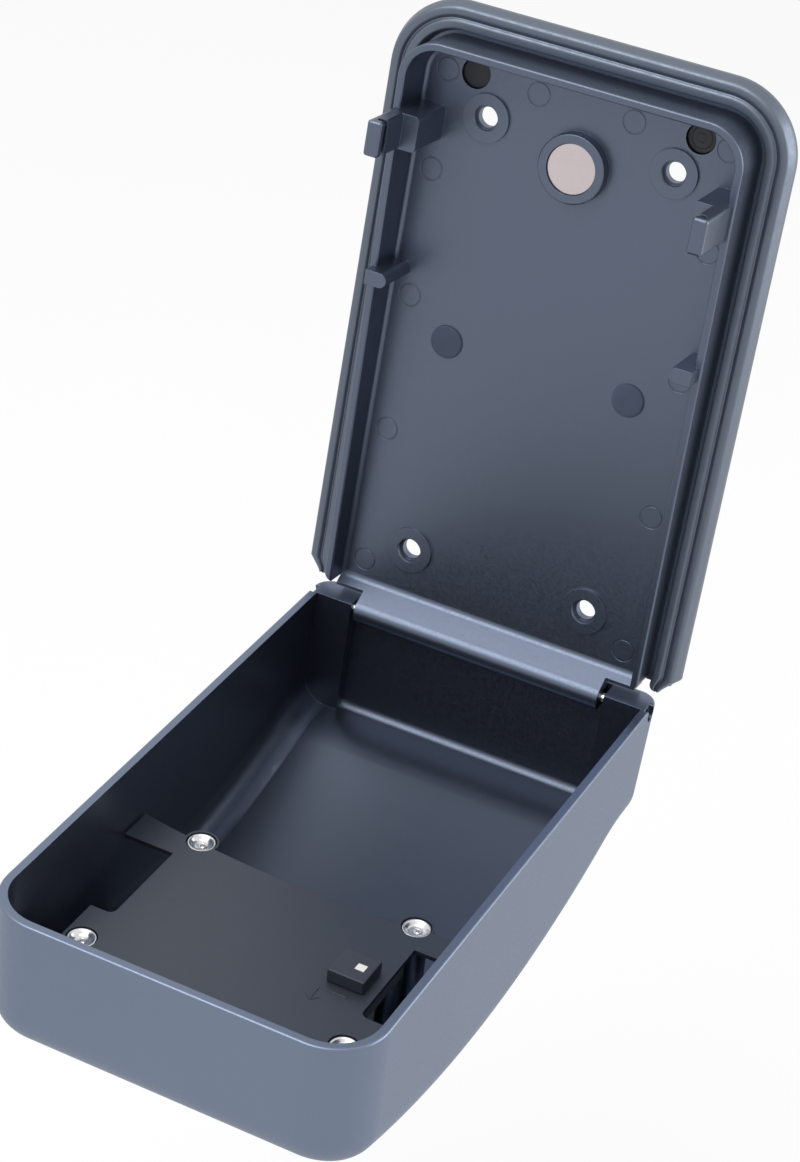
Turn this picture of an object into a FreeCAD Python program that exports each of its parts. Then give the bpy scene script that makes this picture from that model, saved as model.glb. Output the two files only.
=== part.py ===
import FreeCAD, Part
import math
import os

os.makedirs("parts", exist_ok=True)

# Wall key box whose front shell drops open on a pin at its lower edge.
# X runs right, Z up, and Y into the wall. The origin is the centre of the four
# wall screw holes on the plate's back face.
# "out" is the distance from the wall. "up" is the height above the hinge axis.
# "deep" is the depth below the plane of the shell's open edge, with the box shut.

# Fits and clearances
RUNNING_FIT = 0.05
SLIDE_GAP = 0.25
SEAT_GAP = 0.3
OVERCUT = 1.0

# Front shell
SHELL_HALF_WIDTH = 52.5
SHELL_FOOT_UP = -7.0
SHELL_TOP_UP = 171.9
SHELL_EDGE_OUT = 5.2
SHELL_WALL = 2.4
SHELL_TOP_CORNER = 15.0
SHELL_FOOT_CORNER = 5.5
SHELL_FOOT_LEAN = 0.19
SHELL_FACE_FILLET = 10.0
SHELL_EDGE_ROUNDING = 0.6
CROWN_FOOT_UP = 13.2
CROWN_FOOT_DEEP = 36.8
CROWN_MID_UP = 85.0
CROWN_MID_DEEP = 50.4
CROWN_TOP_DEEP = 37.0
CROWN_VALLEY_RADIUS = 40.0
PILLAR_WIDTH = 13.4
PILLAR_INNER_X = SHELL_HALF_WIDTH - PILLAR_WIDTH
PILLAR_FACE_UP = 1.9
PILLAR_LEAN = 0.083

# Back plate
RIM_SIDE_GAP = 1.9
RIM_TOP_GAP = 2.9
BASE_THICKNESS = 3.4
FLANGE_THICKNESS = 1.8
RIM_HALF_WIDTH = SHELL_HALF_WIDTH - SHELL_WALL - RIM_SIDE_GAP
RIM_TOP_UP = SHELL_TOP_UP - SHELL_WALL - RIM_TOP_GAP
RIM_THICKNESS = 2.2
RIM_CORNER_RADIUS = 11.0
RIM_FOOT_UP = 7.0
RIM_FOOT_RADIUS = 2.5
RIM_OUT_AT_HINGE = 10.4
RIM_OUT_AT_TOP = 16.9
FLANGE_MARGIN = 6.8
FLANGE_FOOT_UP = 7.3
FLOOR_FILLET = 1.2
RIM_EDGE_FILLET = 0.5
MARK_RADIUS = 3.3
MARK_GROOVE_WIDTH = 0.35
MARK_GROOVE_DEPTH = 0.15
MARK_SIDE_INSET = 8.4
MARK_HALF_PITCH = RIM_HALF_WIDTH - MARK_SIDE_INSET
LOW_MARK_UPS = (13.7, 54.0)
HIGH_MARK_INSETS = (73.0, 37.0, 9.6)
TOP_MARK_HALF_PITCH = 13.5
TOP_MARK_INSET = 9.3

# Wall screws
HOLE_PITCH_X = 53.5
LOWER_HOLES_UP = 21.2
UPPER_HOLES_INSET = 19.4
HOLE_PITCH_Z = RIM_TOP_UP - UPPER_HOLES_INSET - LOWER_HOLES_UP
HOLE_RADIUS = 2.75
COUNTERBORE_RADIUS = 3.5
HOLE_BOSS_RADIUS = 6.6
HOLE_BOSS_HEIGHT = 0.8
COUNTERBORE_DEPTH = 1.9

# Hinge
AXIS_OUT = 7.1
PIN_RADIUS = 1.25
PIN_SINK_RADIUS = 2.1
PIN_SINK_DEPTH = 1.4
KNUCKLE_RADIUS = 3.6
KNUCKLE_END_GAP = 1.6
KNUCKLE_HALF_WIDTH = PILLAR_INNER_X - KNUCKLE_END_GAP
LEDGE_TOP_UP = 7.6
LEDGE_FOOT_UP = 4.6
LEDGE_OUT = 6.0
WEB_FILLET = 2.5
OPENING_ANGLE = 97.7

# Key magnet, bumpers and corner plugs on the plate
MAGNET_RADIUS = 6.9
MAGNET_INSET = 25.3
MAGNET_UP = RIM_TOP_UP - MAGNET_INSET
MAGNET_THICKNESS = 2.2
MAGNET_RECESS = 0.5
MAGNET_BOSS_RADIUS = 9.4
MAGNET_BOSS_HEIGHT = 3.4
MAGNET_BOSS_EDGE = 0.5
BUMPER_RADIUS = 4.6
BUMPER_HALF_PITCH = 26.8
BUMPER_INSET = 82.7
BUMPER_UP = RIM_TOP_UP - BUMPER_INSET
BUMPER_HEIGHT = 0.7
BUMPER_SOCKET_DEPTH = 1.5
PLUG_RADIUS = 4.1
PLUG_SIDE_INSET = 16.4
PLUG_HALF_PITCH = RIM_HALF_WIDTH - PLUG_SIDE_INSET
PLUG_INSET = 8.7
PLUG_UP = RIM_TOP_UP - PLUG_INSET
PLUG_RECESS = 0.9

# Latch height, latch hooks and guide pegs of the plate
LATCH_INSET = 31.3
LATCH_UP = SHELL_TOP_UP - LATCH_INSET
HOOK_RIM_INSET = 1.0
HOOK_WEB_WIDTH = 4.2
HOOK_FOOT_WIDTH = 8.7
HOOK_OUTER_X = RIM_HALF_WIDTH - HOOK_RIM_INSET
HOOK_WEB_X = HOOK_OUTER_X - HOOK_WEB_WIDTH
HOOK_INNER_X = HOOK_OUTER_X - HOOK_FOOT_WIDTH
HOOK_BELOW_LATCH = 3.0
HOOK_ABOVE_LATCH = 6.6
HOOK_LOW_UP = LATCH_UP - HOOK_BELOW_LATCH
HOOK_HIGH_UP = LATCH_UP + HOOK_ABOVE_LATCH
HOOK_SHOULDER_OUT = 19.9
HOOK_TIP_OUT = 33.0
HOOK_NOTCH_DEPTH = 2.4
HOOK_EDGE_RADIUS = 1.2
PEG_LENGTH = 7.4
PEG_INNER_X = RIM_HALF_WIDTH - PEG_LENGTH
PEG_RADIUS = 2.05
PEG_INSET = 65.9
PEG_UP = RIM_TOP_UP - PEG_INSET
PEG_TIP_OUT = 18.9

# Weather seal
SEAL_CREST_OUT = 4.9
SEAL_INNER_GAP = 0.9
SEAL_INNER_CREST_START = 1.7
SEAL_INNER_CREST_END = 3.9
SEAL_VALLEY = 4.6
SEAL_VALLEY_DROP = 1.5
SEAL_OUTER_CREST_START = 5.4
SEAL_OUTER_CREST_END = 7.5
SEAL_WIDTH = 8.8
SEAL_BEVEL_OUT = 1.6
SEAL_FOOT_UP = 5.9
SEAL_FOOT_CUT = 4.2

# Knob and spindle
SPINDLE_RADIUS = 2.5
KNOB_RADIUS = 8.5
KNOB_GAP = 0.4
KNOB_DISC_THICKNESS = 2.6
KNOB_GRIP_WIDTH = 5.0
KNOB_GRIP_HEIGHT = 6.0
KNOB_EDGE = 1.0
CLIP_RADIUS = 4.2
CLIP_THICKNESS = 0.8

# Keypad fascia and buttons
FASCIA_SIDE_INSET = 26.5
FASCIA_TOP_INSET = 8.4
FASCIA_END_MARGIN = 7.0
FASCIA_HALF_WIDTH = SHELL_HALF_WIDTH - FASCIA_SIDE_INSET
FASCIA_HIGH_UP = SHELL_TOP_UP - FASCIA_TOP_INSET
FASCIA_CORNER = 5.0
FASCIA_PROUD = 1.0
FASCIA_FLANGE = 2.0
FASCIA_FLANGE_THICKNESS = 1.2
BUTTON_PITCH = 12.0
BUTTON_ROWS = 5
BUTTON_FIRST_UP = FASCIA_HIGH_UP - FASCIA_END_MARGIN - (BUTTON_ROWS - 1) * BUTTON_PITCH
FASCIA_LOW_UP = BUTTON_FIRST_UP - FASCIA_END_MARGIN
BUTTON_SIDE_MARGIN = 3.0
BUTTON_KNOB_GAP = 4.5
BUTTON_WIDTH = FASCIA_HALF_WIDTH - BUTTON_SIDE_MARGIN - BUTTON_KNOB_GAP - KNOB_RADIUS
BUTTON_COLUMN_X = FASCIA_HALF_WIDTH - BUTTON_SIDE_MARGIN - BUTTON_WIDTH / 2
BUTTON_HEIGHT = 8.4
BUTTON_CORNER = 2.0
BUTTON_PROUD = 2.2
BUTTON_TRAVEL = 2.0
BUTTON_COLLAR = 0.8
BUTTON_COLLAR_THICKNESS = 1.2
STEM_RADIUS = 1.8
CLEAR_BUTTON_RISE = 3.5
CLEAR_BUTTON_UP = BUTTON_FIRST_UP + CLEAR_BUTTON_RISE
CLEAR_BUTTON_RADIUS = 4.0

# Lock body and latch
LOCK_SIDE_MARGIN = 6.0
LOCK_FOOT_MARGIN = 0.3
LOCK_TOP_MARGIN = 2.0
LOCK_HALF_WIDTH = FASCIA_HALF_WIDTH + LOCK_SIDE_MARGIN
LOCK_LOW_UP = FASCIA_LOW_UP - LOCK_FOOT_MARGIN
LOCK_HIGH_UP = FASCIA_HIGH_UP - LOCK_TOP_MARGIN
LOCK_NEAR_DEEP = 26.9
LOCK_FAR_DEEP = 30.6
LOCK_CORNER = 3.0
LOCK_BOSS_SIDE_INSET = 3.2
LOCK_BOSS_X = LOCK_HALF_WIDTH - LOCK_BOSS_SIDE_INSET
LOCK_BOSS_FOOT_INSET = 3.6
LOCK_BOSS_TOP_INSET = 3.3
LOCK_BOSS_RADIUS = 2.6
LOCK_SCREW_RADIUS = 1.1
LOCK_SCREW_LENGTH = 9.0
LOCK_SCREW_HEAD_RADIUS = 2.2
LOCK_SCREW_HEAD_HEIGHT = 1.3
BOLT_HALF_HEIGHT = 2.0
BOLT_NEAR_DEEP = 24.2
BOLT_THICKNESS = 1.4
BOLT_ROOT_X = 6.0
BOLT_TIP_GAP = 2.0
BOLT_TIP_X = HOOK_WEB_X - BOLT_TIP_GAP
NOTCH_CLEARANCE = 0.25
CAM_RADIUS = 7.5
CAM_THICKNESS = 1.4
CRANK_RADIUS = 5.0
CRANK_PIN_RADIUS = 1.2
CRANK_PIN_CLEARANCE = 0.1
KNOB_TURN = 45.0
LUG_LOW = 3.0
LUG_HIGH = 8.0
LUG_END_X = -5.2
GUIDE_RIB_WIDTH = 1.4
GUIDE_RIB_START_X = 14.0
GUIDE_RIB_END_INSET = 1.0

# Lock cover plate and its screws
COVER_DEEP = 19.7
COVER_THICKNESS = 1.2
COVER_EDGE_BOW = 5.2
COVER_WINDOW_FOOT_RISE = 4.1
COVER_WINDOW_SIDE_GAP = 3.5
COVER_HOOK_END_GAP = 2.6
COVER_HOOK_SIDE_GAP = 1.5
COVER_WINDOW_X = HOOK_INNER_X - COVER_WINDOW_SIDE_GAP
COVER_WINDOW_LOW_UP = LOCK_LOW_UP + COVER_WINDOW_FOOT_RISE
COVER_WINDOW_HIGH_UP = HOOK_LOW_UP - COVER_HOOK_END_GAP
COVER_SIDE_X = HOOK_WEB_X - COVER_HOOK_SIDE_GAP
COVER_WALL_GAP = 0.6
COVER_CORNER_RADIUS = 2.0
SCREW_HEAD_RADIUS = 3.8
SCREW_HEAD_HEIGHT = 1.6
SCREW_SEAT_DEPTH = 1.9
SCREW_SEAT_WALL = 0.55
SCREW_DISH_RADIUS = 3.2
SCREW_DISH_FLOOR_RADIUS = 1.7
SCREW_DISH_DEPTH = 0.9
SCREW_DRIVE_RADIUS = 0.95
SCREW_DRIVE_DEPTH = 2.2
SCREW_SHANK_RADIUS = 1.4
SCREW_SHANK_LENGTH = 8.0
SCREW_BOSS_RADIUS = 3.3
LOWER_SCREW_SIDE_INSET = 0.6
LOWER_SCREW_LOCK_GAP = 1.0
UPPER_SCREW_LOCK_GAP = 1.5
UPPER_SCREW_RISE = 6.2
SCREW_EDGE_MARGIN = 2.4
LOWER_SCREW_UP = LOCK_LOW_UP - SCREW_BOSS_RADIUS - LOWER_SCREW_LOCK_GAP
COVER_EDGE_UP = LOWER_SCREW_UP + SCREW_EDGE_MARGIN

# Code change slide
SLIDE_WINDOW_MARGIN = 8.0
SLIDE_FOOT_RISE = 17.7
SLIDE_BLOCK_X = COVER_WINDOW_X - SLIDE_WINDOW_MARGIN
SLIDE_BLOCK_UP = COVER_WINDOW_LOW_UP + SLIDE_FOOT_RISE
SLIDE_BLOCK_SIZE = 10.2
SLIDE_BLOCK_HEIGHT = 3.8
SLIDE_NECK_WIDTH = 4.0
SLIDE_TRAVEL = 3.0
SLIDE_FOOT_THICKNESS = 1.2
SLIDE_FOOT_WIDTH = 8.0
SLIDE_MARK_SIZE = 2.6
SLIDE_MARK_DEPTH = 0.4

# Springs under the buttons
SPRING_WIRE_RADIUS = 0.25
SPRING_MEAN_RADIUS = 2.6
SPRING_TURNS = 4
SPRING_STEPS_PER_TURN = 10
MITRE_MODE = 1

PATTERN_UP = LOWER_HOLES_UP + HOLE_PITCH_Z / 2
AXIS_POINT = FreeCAD.Vector(0, -AXIS_OUT, -PATTERN_UP)
X_DIRECTION = FreeCAD.Vector(1, 0, 0)
Y_DIRECTION = FreeCAD.Vector(0, 1, 0)
Z_DIRECTION = FreeCAD.Vector(0, 0, 1)


def point(x, out, up):
    """A point in the row frame from its side, its distance from the wall and its height."""
    return FreeCAD.Vector(x, -out, up - PATTERN_UP)


def block(x0, x1, out0, out1, up0, up1):
    """A box between two corners."""
    return Part.makeBox(x1 - x0, out1 - out0, up1 - up0, point(x0, out1, up0))


def post(x, up, radius, out0, out1):
    """A round post that stands out from the wall."""
    return Part.makeCylinder(radius, out1 - out0, point(x, out0, up), -Y_DIRECTION)


def outline(half_width, up0, up1, foot_radius, top_radius, out):
    """A rectangle with rounded corners, parallel to the wall."""
    k = 1 - math.sqrt(0.5)
    w, f, t = half_width, foot_radius, top_radius
    lines = [
        Part.LineSegment(point(-w + f, out, up0), point(w - f, out, up0)),
        Part.Arc(point(w - f, out, up0), point(w - k * f, out, up0 + k * f), point(w, out, up0 + f)),
        Part.LineSegment(point(w, out, up0 + f), point(w, out, up1 - t)),
        Part.Arc(point(w, out, up1 - t), point(w - k * t, out, up1 - k * t), point(w - t, out, up1)),
        Part.LineSegment(point(w - t, out, up1), point(-w + t, out, up1)),
        Part.Arc(point(-w + t, out, up1), point(-w + k * t, out, up1 - k * t), point(-w, out, up1 - t)),
        Part.LineSegment(point(-w, out, up1 - t), point(-w, out, up0 + f)),
        Part.Arc(point(-w, out, up0 + f), point(-w + k * f, out, up0 + k * f), point(-w + f, out, up0)),
    ]
    return Part.Wire([line.toShape() for line in lines])


def pad(half_width, up0, up1, foot_radius, top_radius, out0, out1, x=0.0):
    """A prism on a rounded outline, standing out from the wall."""
    wire = outline(half_width, up0, up1, foot_radius, top_radius, out0)
    solid = Part.Face(wire).extrude(-Y_DIRECTION * (out1 - out0))
    solid.translate(X_DIRECTION * x)
    return solid


def side_profile(points, half_width):
    """A prism along X on a polygon of (out, up) points."""
    corners = [point(-half_width, out, up) for out, up in points]
    face = Part.Face(Part.makePolygon(corners + corners[:1]))
    return face.extrude(X_DIRECTION * 2 * half_width)


def mirrored(solid):
    """The same solid on the other side of the box."""
    return solid.mirror(FreeCAD.Vector(0, 0, 0), X_DIRECTION)


def both_sides(solid):
    """The solid and its mirror image."""
    return [solid, mirrored(solid)]


def joined(solids):
    """One solid from several that overlap or meet."""
    return solids[0].fuse(solids[1:]).removeSplitter()


def rounded(solid, wanted, radius):
    """The solid with a fillet on each edge that the test picks."""
    edges = [edge for edge in solid.Edges if wanted(edge)]
    return solid.makeFillet(radius, edges)


def ends(edge):
    """The edge's two end points."""
    return edge.firstVertex().Point, edge.lastVertex().Point


def opened(shape):
    """A shape of the closed box, swung to the open rest pose."""
    turned = shape.copy()
    turned.rotate(AXIS_POINT, X_DIRECTION, OPENING_ANGLE)
    return turned


def save(shape, node):
    """Write one node's solids."""
    shape.exportStep("parts/" + node + ".step")
    print(node, len(shape.Solids), round(shape.Volume, 1), shape.isValid())


def save_open(shape, node):
    """Write one node of the swinging shell."""
    save(opened(shape), node)


# Wall plate

def rim_out(up):
    """Distance of the rim's edge from the wall at a height; the rim grows towards the top."""
    return RIM_OUT_AT_HINGE + (RIM_OUT_AT_TOP - RIM_OUT_AT_HINGE) * up / RIM_TOP_UP


def rim_wedge():
    """Everything below the sloping edge plane of the rim."""
    high = RIM_TOP_UP + OVERCUT
    low = RIM_FOOT_UP - OVERCUT
    corners = [(0, low), (rim_out(low), low), (rim_out(high), high), (0, high)]
    return side_profile(corners, RIM_HALF_WIDTH + OVERCUT)


def rim_tray():
    """The plate's floor and the rim round it."""
    body = pad(RIM_HALF_WIDTH, RIM_FOOT_UP, RIM_TOP_UP, RIM_FOOT_RADIUS, RIM_CORNER_RADIUS,
               0, RIM_OUT_AT_TOP + OVERCUT)
    body = body.common(rim_wedge())
    inner = RIM_HALF_WIDTH - RIM_THICKNESS
    hollow = pad(inner, RIM_FOOT_UP - 2 * OVERCUT, RIM_TOP_UP - RIM_THICKNESS,
                 RIM_EDGE_FILLET, RIM_CORNER_RADIUS - RIM_THICKNESS, BASE_THICKNESS,
                 RIM_OUT_AT_TOP + 2 * OVERCUT)
    floor_y = -BASE_THICKNESS
    hollow = rounded(hollow, lambda edge: all(abs(p.y - floor_y) < 0.01 for p in ends(edge))
                     and edge.BoundBox.ZMax > RIM_FOOT_UP - PATTERN_UP, FLOOR_FILLET)
    ledge = sloping_web(inner, [(LEDGE_OUT, slope_up(LEDGE_OUT)), (LEDGE_OUT, LEDGE_FOOT_UP)])
    return joined([body.cut(hollow), ledge])


def rim_edge_rounded(tray):
    """The tray with its upstanding edge rounded over."""
    def on_edge_plane(edge):
        middle = edge.valueAt((edge.FirstParameter + edge.LastParameter) / 2)
        up = middle.z + PATTERN_UP
        far = [p for p in ends(edge) if abs(-p.y - rim_out(p.z + PATTERN_UP)) > 0.01]
        return not far and abs(-middle.y - rim_out(up)) < 0.01 and edge.Length > 3 * RIM_THICKNESS
    return rounded(tray, on_edge_plane, RIM_EDGE_FILLET)


def flange():
    """The thin border that carries the seal."""
    border = pad(RIM_HALF_WIDTH + FLANGE_MARGIN, FLANGE_FOOT_UP, RIM_TOP_UP + FLANGE_MARGIN, OVERCUT,
                 RIM_CORNER_RADIUS + FLANGE_MARGIN, 0, FLANGE_THICKNESS)
    return border


def web_touch():
    """Where the sloping web meets the barrel, as (out, up)."""
    reach_out = AXIS_OUT - BASE_THICKNESS
    angle = math.atan2(LEDGE_TOP_UP, -reach_out) - math.acos(KNUCKLE_RADIUS / math.hypot(reach_out, LEDGE_TOP_UP))
    return AXIS_OUT + KNUCKLE_RADIUS * math.cos(angle), KNUCKLE_RADIUS * math.sin(angle)


def slope_up(out):
    """Height of the web's slope at a distance from the wall."""
    touch_out, touch_up = web_touch()
    return LEDGE_TOP_UP + (touch_up - LEDGE_TOP_UP) * (out - BASE_THICKNESS) / (touch_out - BASE_THICKNESS)


def sloping_web(half_width, front_corners):
    """A prism along X under the floor's fillet and the slope, closed by its front corners."""
    touch_out, touch_up = web_touch()
    along_out, along_up = touch_out - BASE_THICKNESS, touch_up - LEDGE_TOP_UP
    length = math.hypot(along_out, along_up)
    tangent = WEB_FILLET * math.tan(math.acos(-along_up / length) / 2)
    reach = math.hypot(WEB_FILLET, tangent)
    start = (BASE_THICKNESS, LEDGE_TOP_UP + tangent)
    middle = (BASE_THICKNESS + WEB_FILLET - WEB_FILLET * WEB_FILLET / reach,
              LEDGE_TOP_UP + tangent - tangent * WEB_FILLET / reach)
    end = (BASE_THICKNESS + along_out * tangent / length, LEDGE_TOP_UP + along_up * tangent / length)
    corners = [end] + front_corners + [(0, LEDGE_FOOT_UP), (0, start[1]), start]
    edges = [Part.Arc(*[point(-half_width, *spot) for spot in (start, middle, end)]).toShape()]
    edges += [Part.makeLine(point(-half_width, *corners[i]), point(-half_width, *corners[i + 1]))
              for i in range(len(corners) - 1)]
    return Part.Face(Part.Wire(edges)).extrude(X_DIRECTION * 2 * half_width)


def knuckle():
    """The long barrel of the plate that turns on the pin, with the web that slopes down to it."""
    barrel = Part.makeCylinder(KNUCKLE_RADIUS, 2 * KNUCKLE_HALF_WIDTH,
                               point(-KNUCKLE_HALF_WIDTH, AXIS_OUT, 0), X_DIRECTION)
    back = AXIS_OUT - KNUCKLE_RADIUS
    web = sloping_web(KNUCKLE_HALF_WIDTH, [web_touch(), (AXIS_OUT, 0), (back, 0), (back, LEDGE_FOOT_UP)])
    return joined([barrel, web])


def hook():
    """One latch hook: a broad foot, a narrow web and the notch that a bolt enters."""
    foot = block(HOOK_INNER_X, HOOK_OUTER_X, 0, HOOK_SHOULDER_OUT, HOOK_LOW_UP, HOOK_HIGH_UP)
    foot = rounded(foot, lambda edge: edge.BoundBox.XMax < HOOK_INNER_X + 0.01
                   and edge.BoundBox.YLength > OVERCUT, HOOK_EDGE_RADIUS)
    web = block(HOOK_WEB_X, HOOK_OUTER_X, 0, HOOK_TIP_OUT, HOOK_LOW_UP, HOOK_HIGH_UP)
    tip_y = -HOOK_TIP_OUT
    web = rounded(web, lambda edge: edge.BoundBox.YLength > OVERCUT
                  or edge.BoundBox.YMax < tip_y + 0.01, HOOK_EDGE_RADIUS * 0.7)
    near, far = notch_outs()
    notch = block(HOOK_WEB_X - OVERCUT, HOOK_WEB_X + HOOK_NOTCH_DEPTH, near, far,
                  HOOK_LOW_UP - OVERCUT, HOOK_HIGH_UP + OVERCUT)
    return joined([foot, web]).cut(notch)


def notch_outs():
    """Where the hook's notch starts and ends, measured from the wall."""
    near = SHELL_EDGE_OUT + BOLT_NEAR_DEEP - NOTCH_CLEARANCE
    far = SHELL_EDGE_OUT + BOLT_NEAR_DEEP + BOLT_THICKNESS + NOTCH_CLEARANCE
    return near, far


def guide_peg():
    """One peg with a half round inner side, grown out of the rim's inner face."""
    inner = RIM_HALF_WIDTH - RIM_THICKNESS / 2
    round_part = post(PEG_INNER_X + PEG_RADIUS, PEG_UP, PEG_RADIUS, 0, PEG_TIP_OUT)
    flat_part = block(PEG_INNER_X + PEG_RADIUS, inner, 0, PEG_TIP_OUT, PEG_UP - PEG_RADIUS, PEG_UP + PEG_RADIUS)
    return joined([round_part, flat_part])


def floor_mark(x, up):
    """The cutter for one faint moulding ring on the floor."""
    near = BASE_THICKNESS - MARK_GROOVE_DEPTH
    far = BASE_THICKNESS + OVERCUT
    return post(x, up, MARK_RADIUS, near, far).cut(post(x, up, MARK_RADIUS - MARK_GROOVE_WIDTH, near, far))


def hole_centres():
    """The four wall screws."""
    return [(sx * HOLE_PITCH_X / 2, LOWER_HOLES_UP + row * HOLE_PITCH_Z) for sx in (-1, 1) for row in (0, 1)]


def back_plate():
    """The cast wall plate with everything that is one piece with it."""
    solids = [rim_edge_rounded(rim_tray()), flange(), knuckle()]
    solids += both_sides(hook()) + both_sides(guide_peg())
    for x, up in hole_centres():
        solids.append(post(x, up, HOLE_BOSS_RADIUS, 0, BASE_THICKNESS + HOLE_BOSS_HEIGHT))
    boss_out = BASE_THICKNESS + MAGNET_BOSS_HEIGHT
    boss = post(0, MAGNET_UP, MAGNET_BOSS_RADIUS, 0, boss_out)
    solids.append(rounded(boss, lambda edge: edge.BoundBox.YMax < -boss_out + 0.01, MAGNET_BOSS_EDGE))
    plate = joined(solids)
    for x, up in hole_centres():
        boss_top = BASE_THICKNESS + HOLE_BOSS_HEIGHT
        plate = plate.cut(post(x, up, HOLE_RADIUS, -OVERCUT, boss_top + OVERCUT))
        plate = plate.cut(post(x, up, COUNTERBORE_RADIUS, boss_top - COUNTERBORE_DEPTH, boss_top + OVERCUT))
    plate = plate.cut(post(0, MAGNET_UP, MAGNET_RADIUS, boss_out - MAGNET_RECESS - MAGNET_THICKNESS,
                           boss_out + OVERCUT))
    for side in (-1, 1):
        plate = plate.cut(post(side * BUMPER_HALF_PITCH, BUMPER_UP, BUMPER_RADIUS,
                               BASE_THICKNESS - BUMPER_SOCKET_DEPTH, BASE_THICKNESS + OVERCUT))
        plate = plate.cut(post(side * PLUG_HALF_PITCH, PLUG_UP, PLUG_RADIUS, -OVERCUT, BASE_THICKNESS + OVERCUT))
        for up in LOW_MARK_UPS:
            plate = plate.cut(floor_mark(side * MARK_HALF_PITCH, up))
        for inset in HIGH_MARK_INSETS:
            plate = plate.cut(floor_mark(side * MARK_HALF_PITCH, RIM_TOP_UP - inset))
        plate = plate.cut(floor_mark(side * TOP_MARK_HALF_PITCH, RIM_TOP_UP - TOP_MARK_INSET))
    bore = Part.makeCylinder(PIN_RADIUS + RUNNING_FIT, 2 * SHELL_HALF_WIDTH,
                             point(-SHELL_HALF_WIDTH, AXIS_OUT, 0), X_DIRECTION)
    return plate.cut(bore)


def seal_band(margin_in, margin_out, out0, out1):
    """A band round the plate's rim between two margins, open at the foot."""
    def grown(margin, near, far):
        return pad(RIM_HALF_WIDTH + margin, SEAL_FOOT_UP - 2 * RIM_HALF_WIDTH, RIM_TOP_UP + margin,
                   RIM_FOOT_RADIUS, RIM_CORNER_RADIUS + margin, near, far)
    band = grown(margin_out, out0, out1).cut(grown(margin_in, out0 - OVERCUT, out1 + OVERCUT))
    foot = block(-2 * RIM_HALF_WIDTH, 2 * RIM_HALF_WIDTH, out0 - OVERCUT, out1 + OVERCUT,
                 SEAL_FOOT_UP - 4 * RIM_HALF_WIDTH, SEAL_FOOT_UP)
    return band.cut(foot)


def seal_ramp(margin0, out0, margin1, out1, floor_out):
    """A band whose face slopes from one margin to the next, lofted leg by leg."""
    def section(place):
        corners = [place(margin0, floor_out), place(margin0, out0), place(margin1, out1), place(margin1, floor_out)]
        return Part.makePolygon(corners + corners[:1])
    turn = RIM_CORNER_RADIUS
    straight_up = RIM_TOP_UP - turn
    leg = Part.Face(section(lambda m, out: point(RIM_HALF_WIDTH + m, out, SEAL_FOOT_UP)))
    leg = leg.extrude(Z_DIRECTION * (straight_up - SEAL_FOOT_UP))
    bridge = Part.Face(section(lambda m, out: point(-RIM_HALF_WIDTH + turn, out, RIM_TOP_UP + m)))
    bridge = bridge.extrude(X_DIRECTION * 2 * (RIM_HALF_WIDTH - turn))
    corner_face = Part.Face(section(lambda m, out: point(RIM_HALF_WIDTH + m, out, straight_up)))
    corner = corner_face.revolve(point(RIM_HALF_WIDTH - turn, 0, straight_up), -Y_DIRECTION, 90)
    return both_sides(leg) + [bridge] + both_sides(corner)


def weather_seal():
    """The rubber frame round three sides of the plate, with two crests and a bevelled skirt."""
    base = FLANGE_THICKNESS
    crest = SEAL_CREST_OUT
    valley = crest - SEAL_VALLEY_DROP
    solids = seal_ramp(SEAL_INNER_GAP, base, SEAL_INNER_CREST_START, crest, base)
    solids += seal_ramp(SEAL_INNER_CREST_START, crest, SEAL_INNER_CREST_END, crest, base)
    solids += seal_ramp(SEAL_INNER_CREST_END, crest, SEAL_VALLEY, valley, base)
    solids += seal_ramp(SEAL_VALLEY, valley, SEAL_OUTER_CREST_START, crest, base)
    solids += seal_ramp(SEAL_OUTER_CREST_START, crest, SEAL_OUTER_CREST_END, crest, base)
    solids += seal_ramp(SEAL_OUTER_CREST_END, crest, SEAL_WIDTH, SEAL_BEVEL_OUT, 0)
    solids.append(seal_band(FLANGE_MARGIN, SEAL_WIDTH, 0, SEAL_BEVEL_OUT))
    seal = joined(solids)
    reach = RIM_HALF_WIDTH + SEAL_WIDTH
    slanted = side_cut(reach, SEAL_FOOT_UP, SEAL_FOOT_CUT)
    return seal.cut(flange()).cut(slanted).cut(mirrored(slanted))


def side_cut(reach, up, size):
    """The wedge that slants the outer corner of a seal leg's foot."""
    corners = [(reach - size, up - OVERCUT), (reach + OVERCUT, up - OVERCUT), (reach + OVERCUT, up + size)]
    face = Part.Face(Part.makePolygon([point(x, 0, z) for x, z in corners + corners[:1]]))
    return face.extrude(-Y_DIRECTION * 2 * SEAL_CREST_OUT)


def magnet():
    """The round key magnet in its boss."""
    face_out = BASE_THICKNESS + MAGNET_BOSS_HEIGHT - MAGNET_RECESS
    return post(0, MAGNET_UP, MAGNET_RADIUS, face_out - MAGNET_THICKNESS, face_out)


def bumpers():
    """Two rubber pads that keep keys off the plate."""
    near = BASE_THICKNESS - BUMPER_SOCKET_DEPTH
    pads = []
    for side in (-1, 1):
        pads.append(post(side * BUMPER_HALF_PITCH, BUMPER_UP, BUMPER_RADIUS, near, BASE_THICKNESS + BUMPER_HEIGHT))
    return Part.makeCompound(pads)


def corner_plugs():
    """Two plugs in the spare holes beside the upper screws."""
    return Part.makeCompound([post(side * PLUG_HALF_PITCH, PLUG_UP, PLUG_RADIUS, 0, BASE_THICKNESS - PLUG_RECESS)
                              for side in (-1, 1)])


# Front shell

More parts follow.
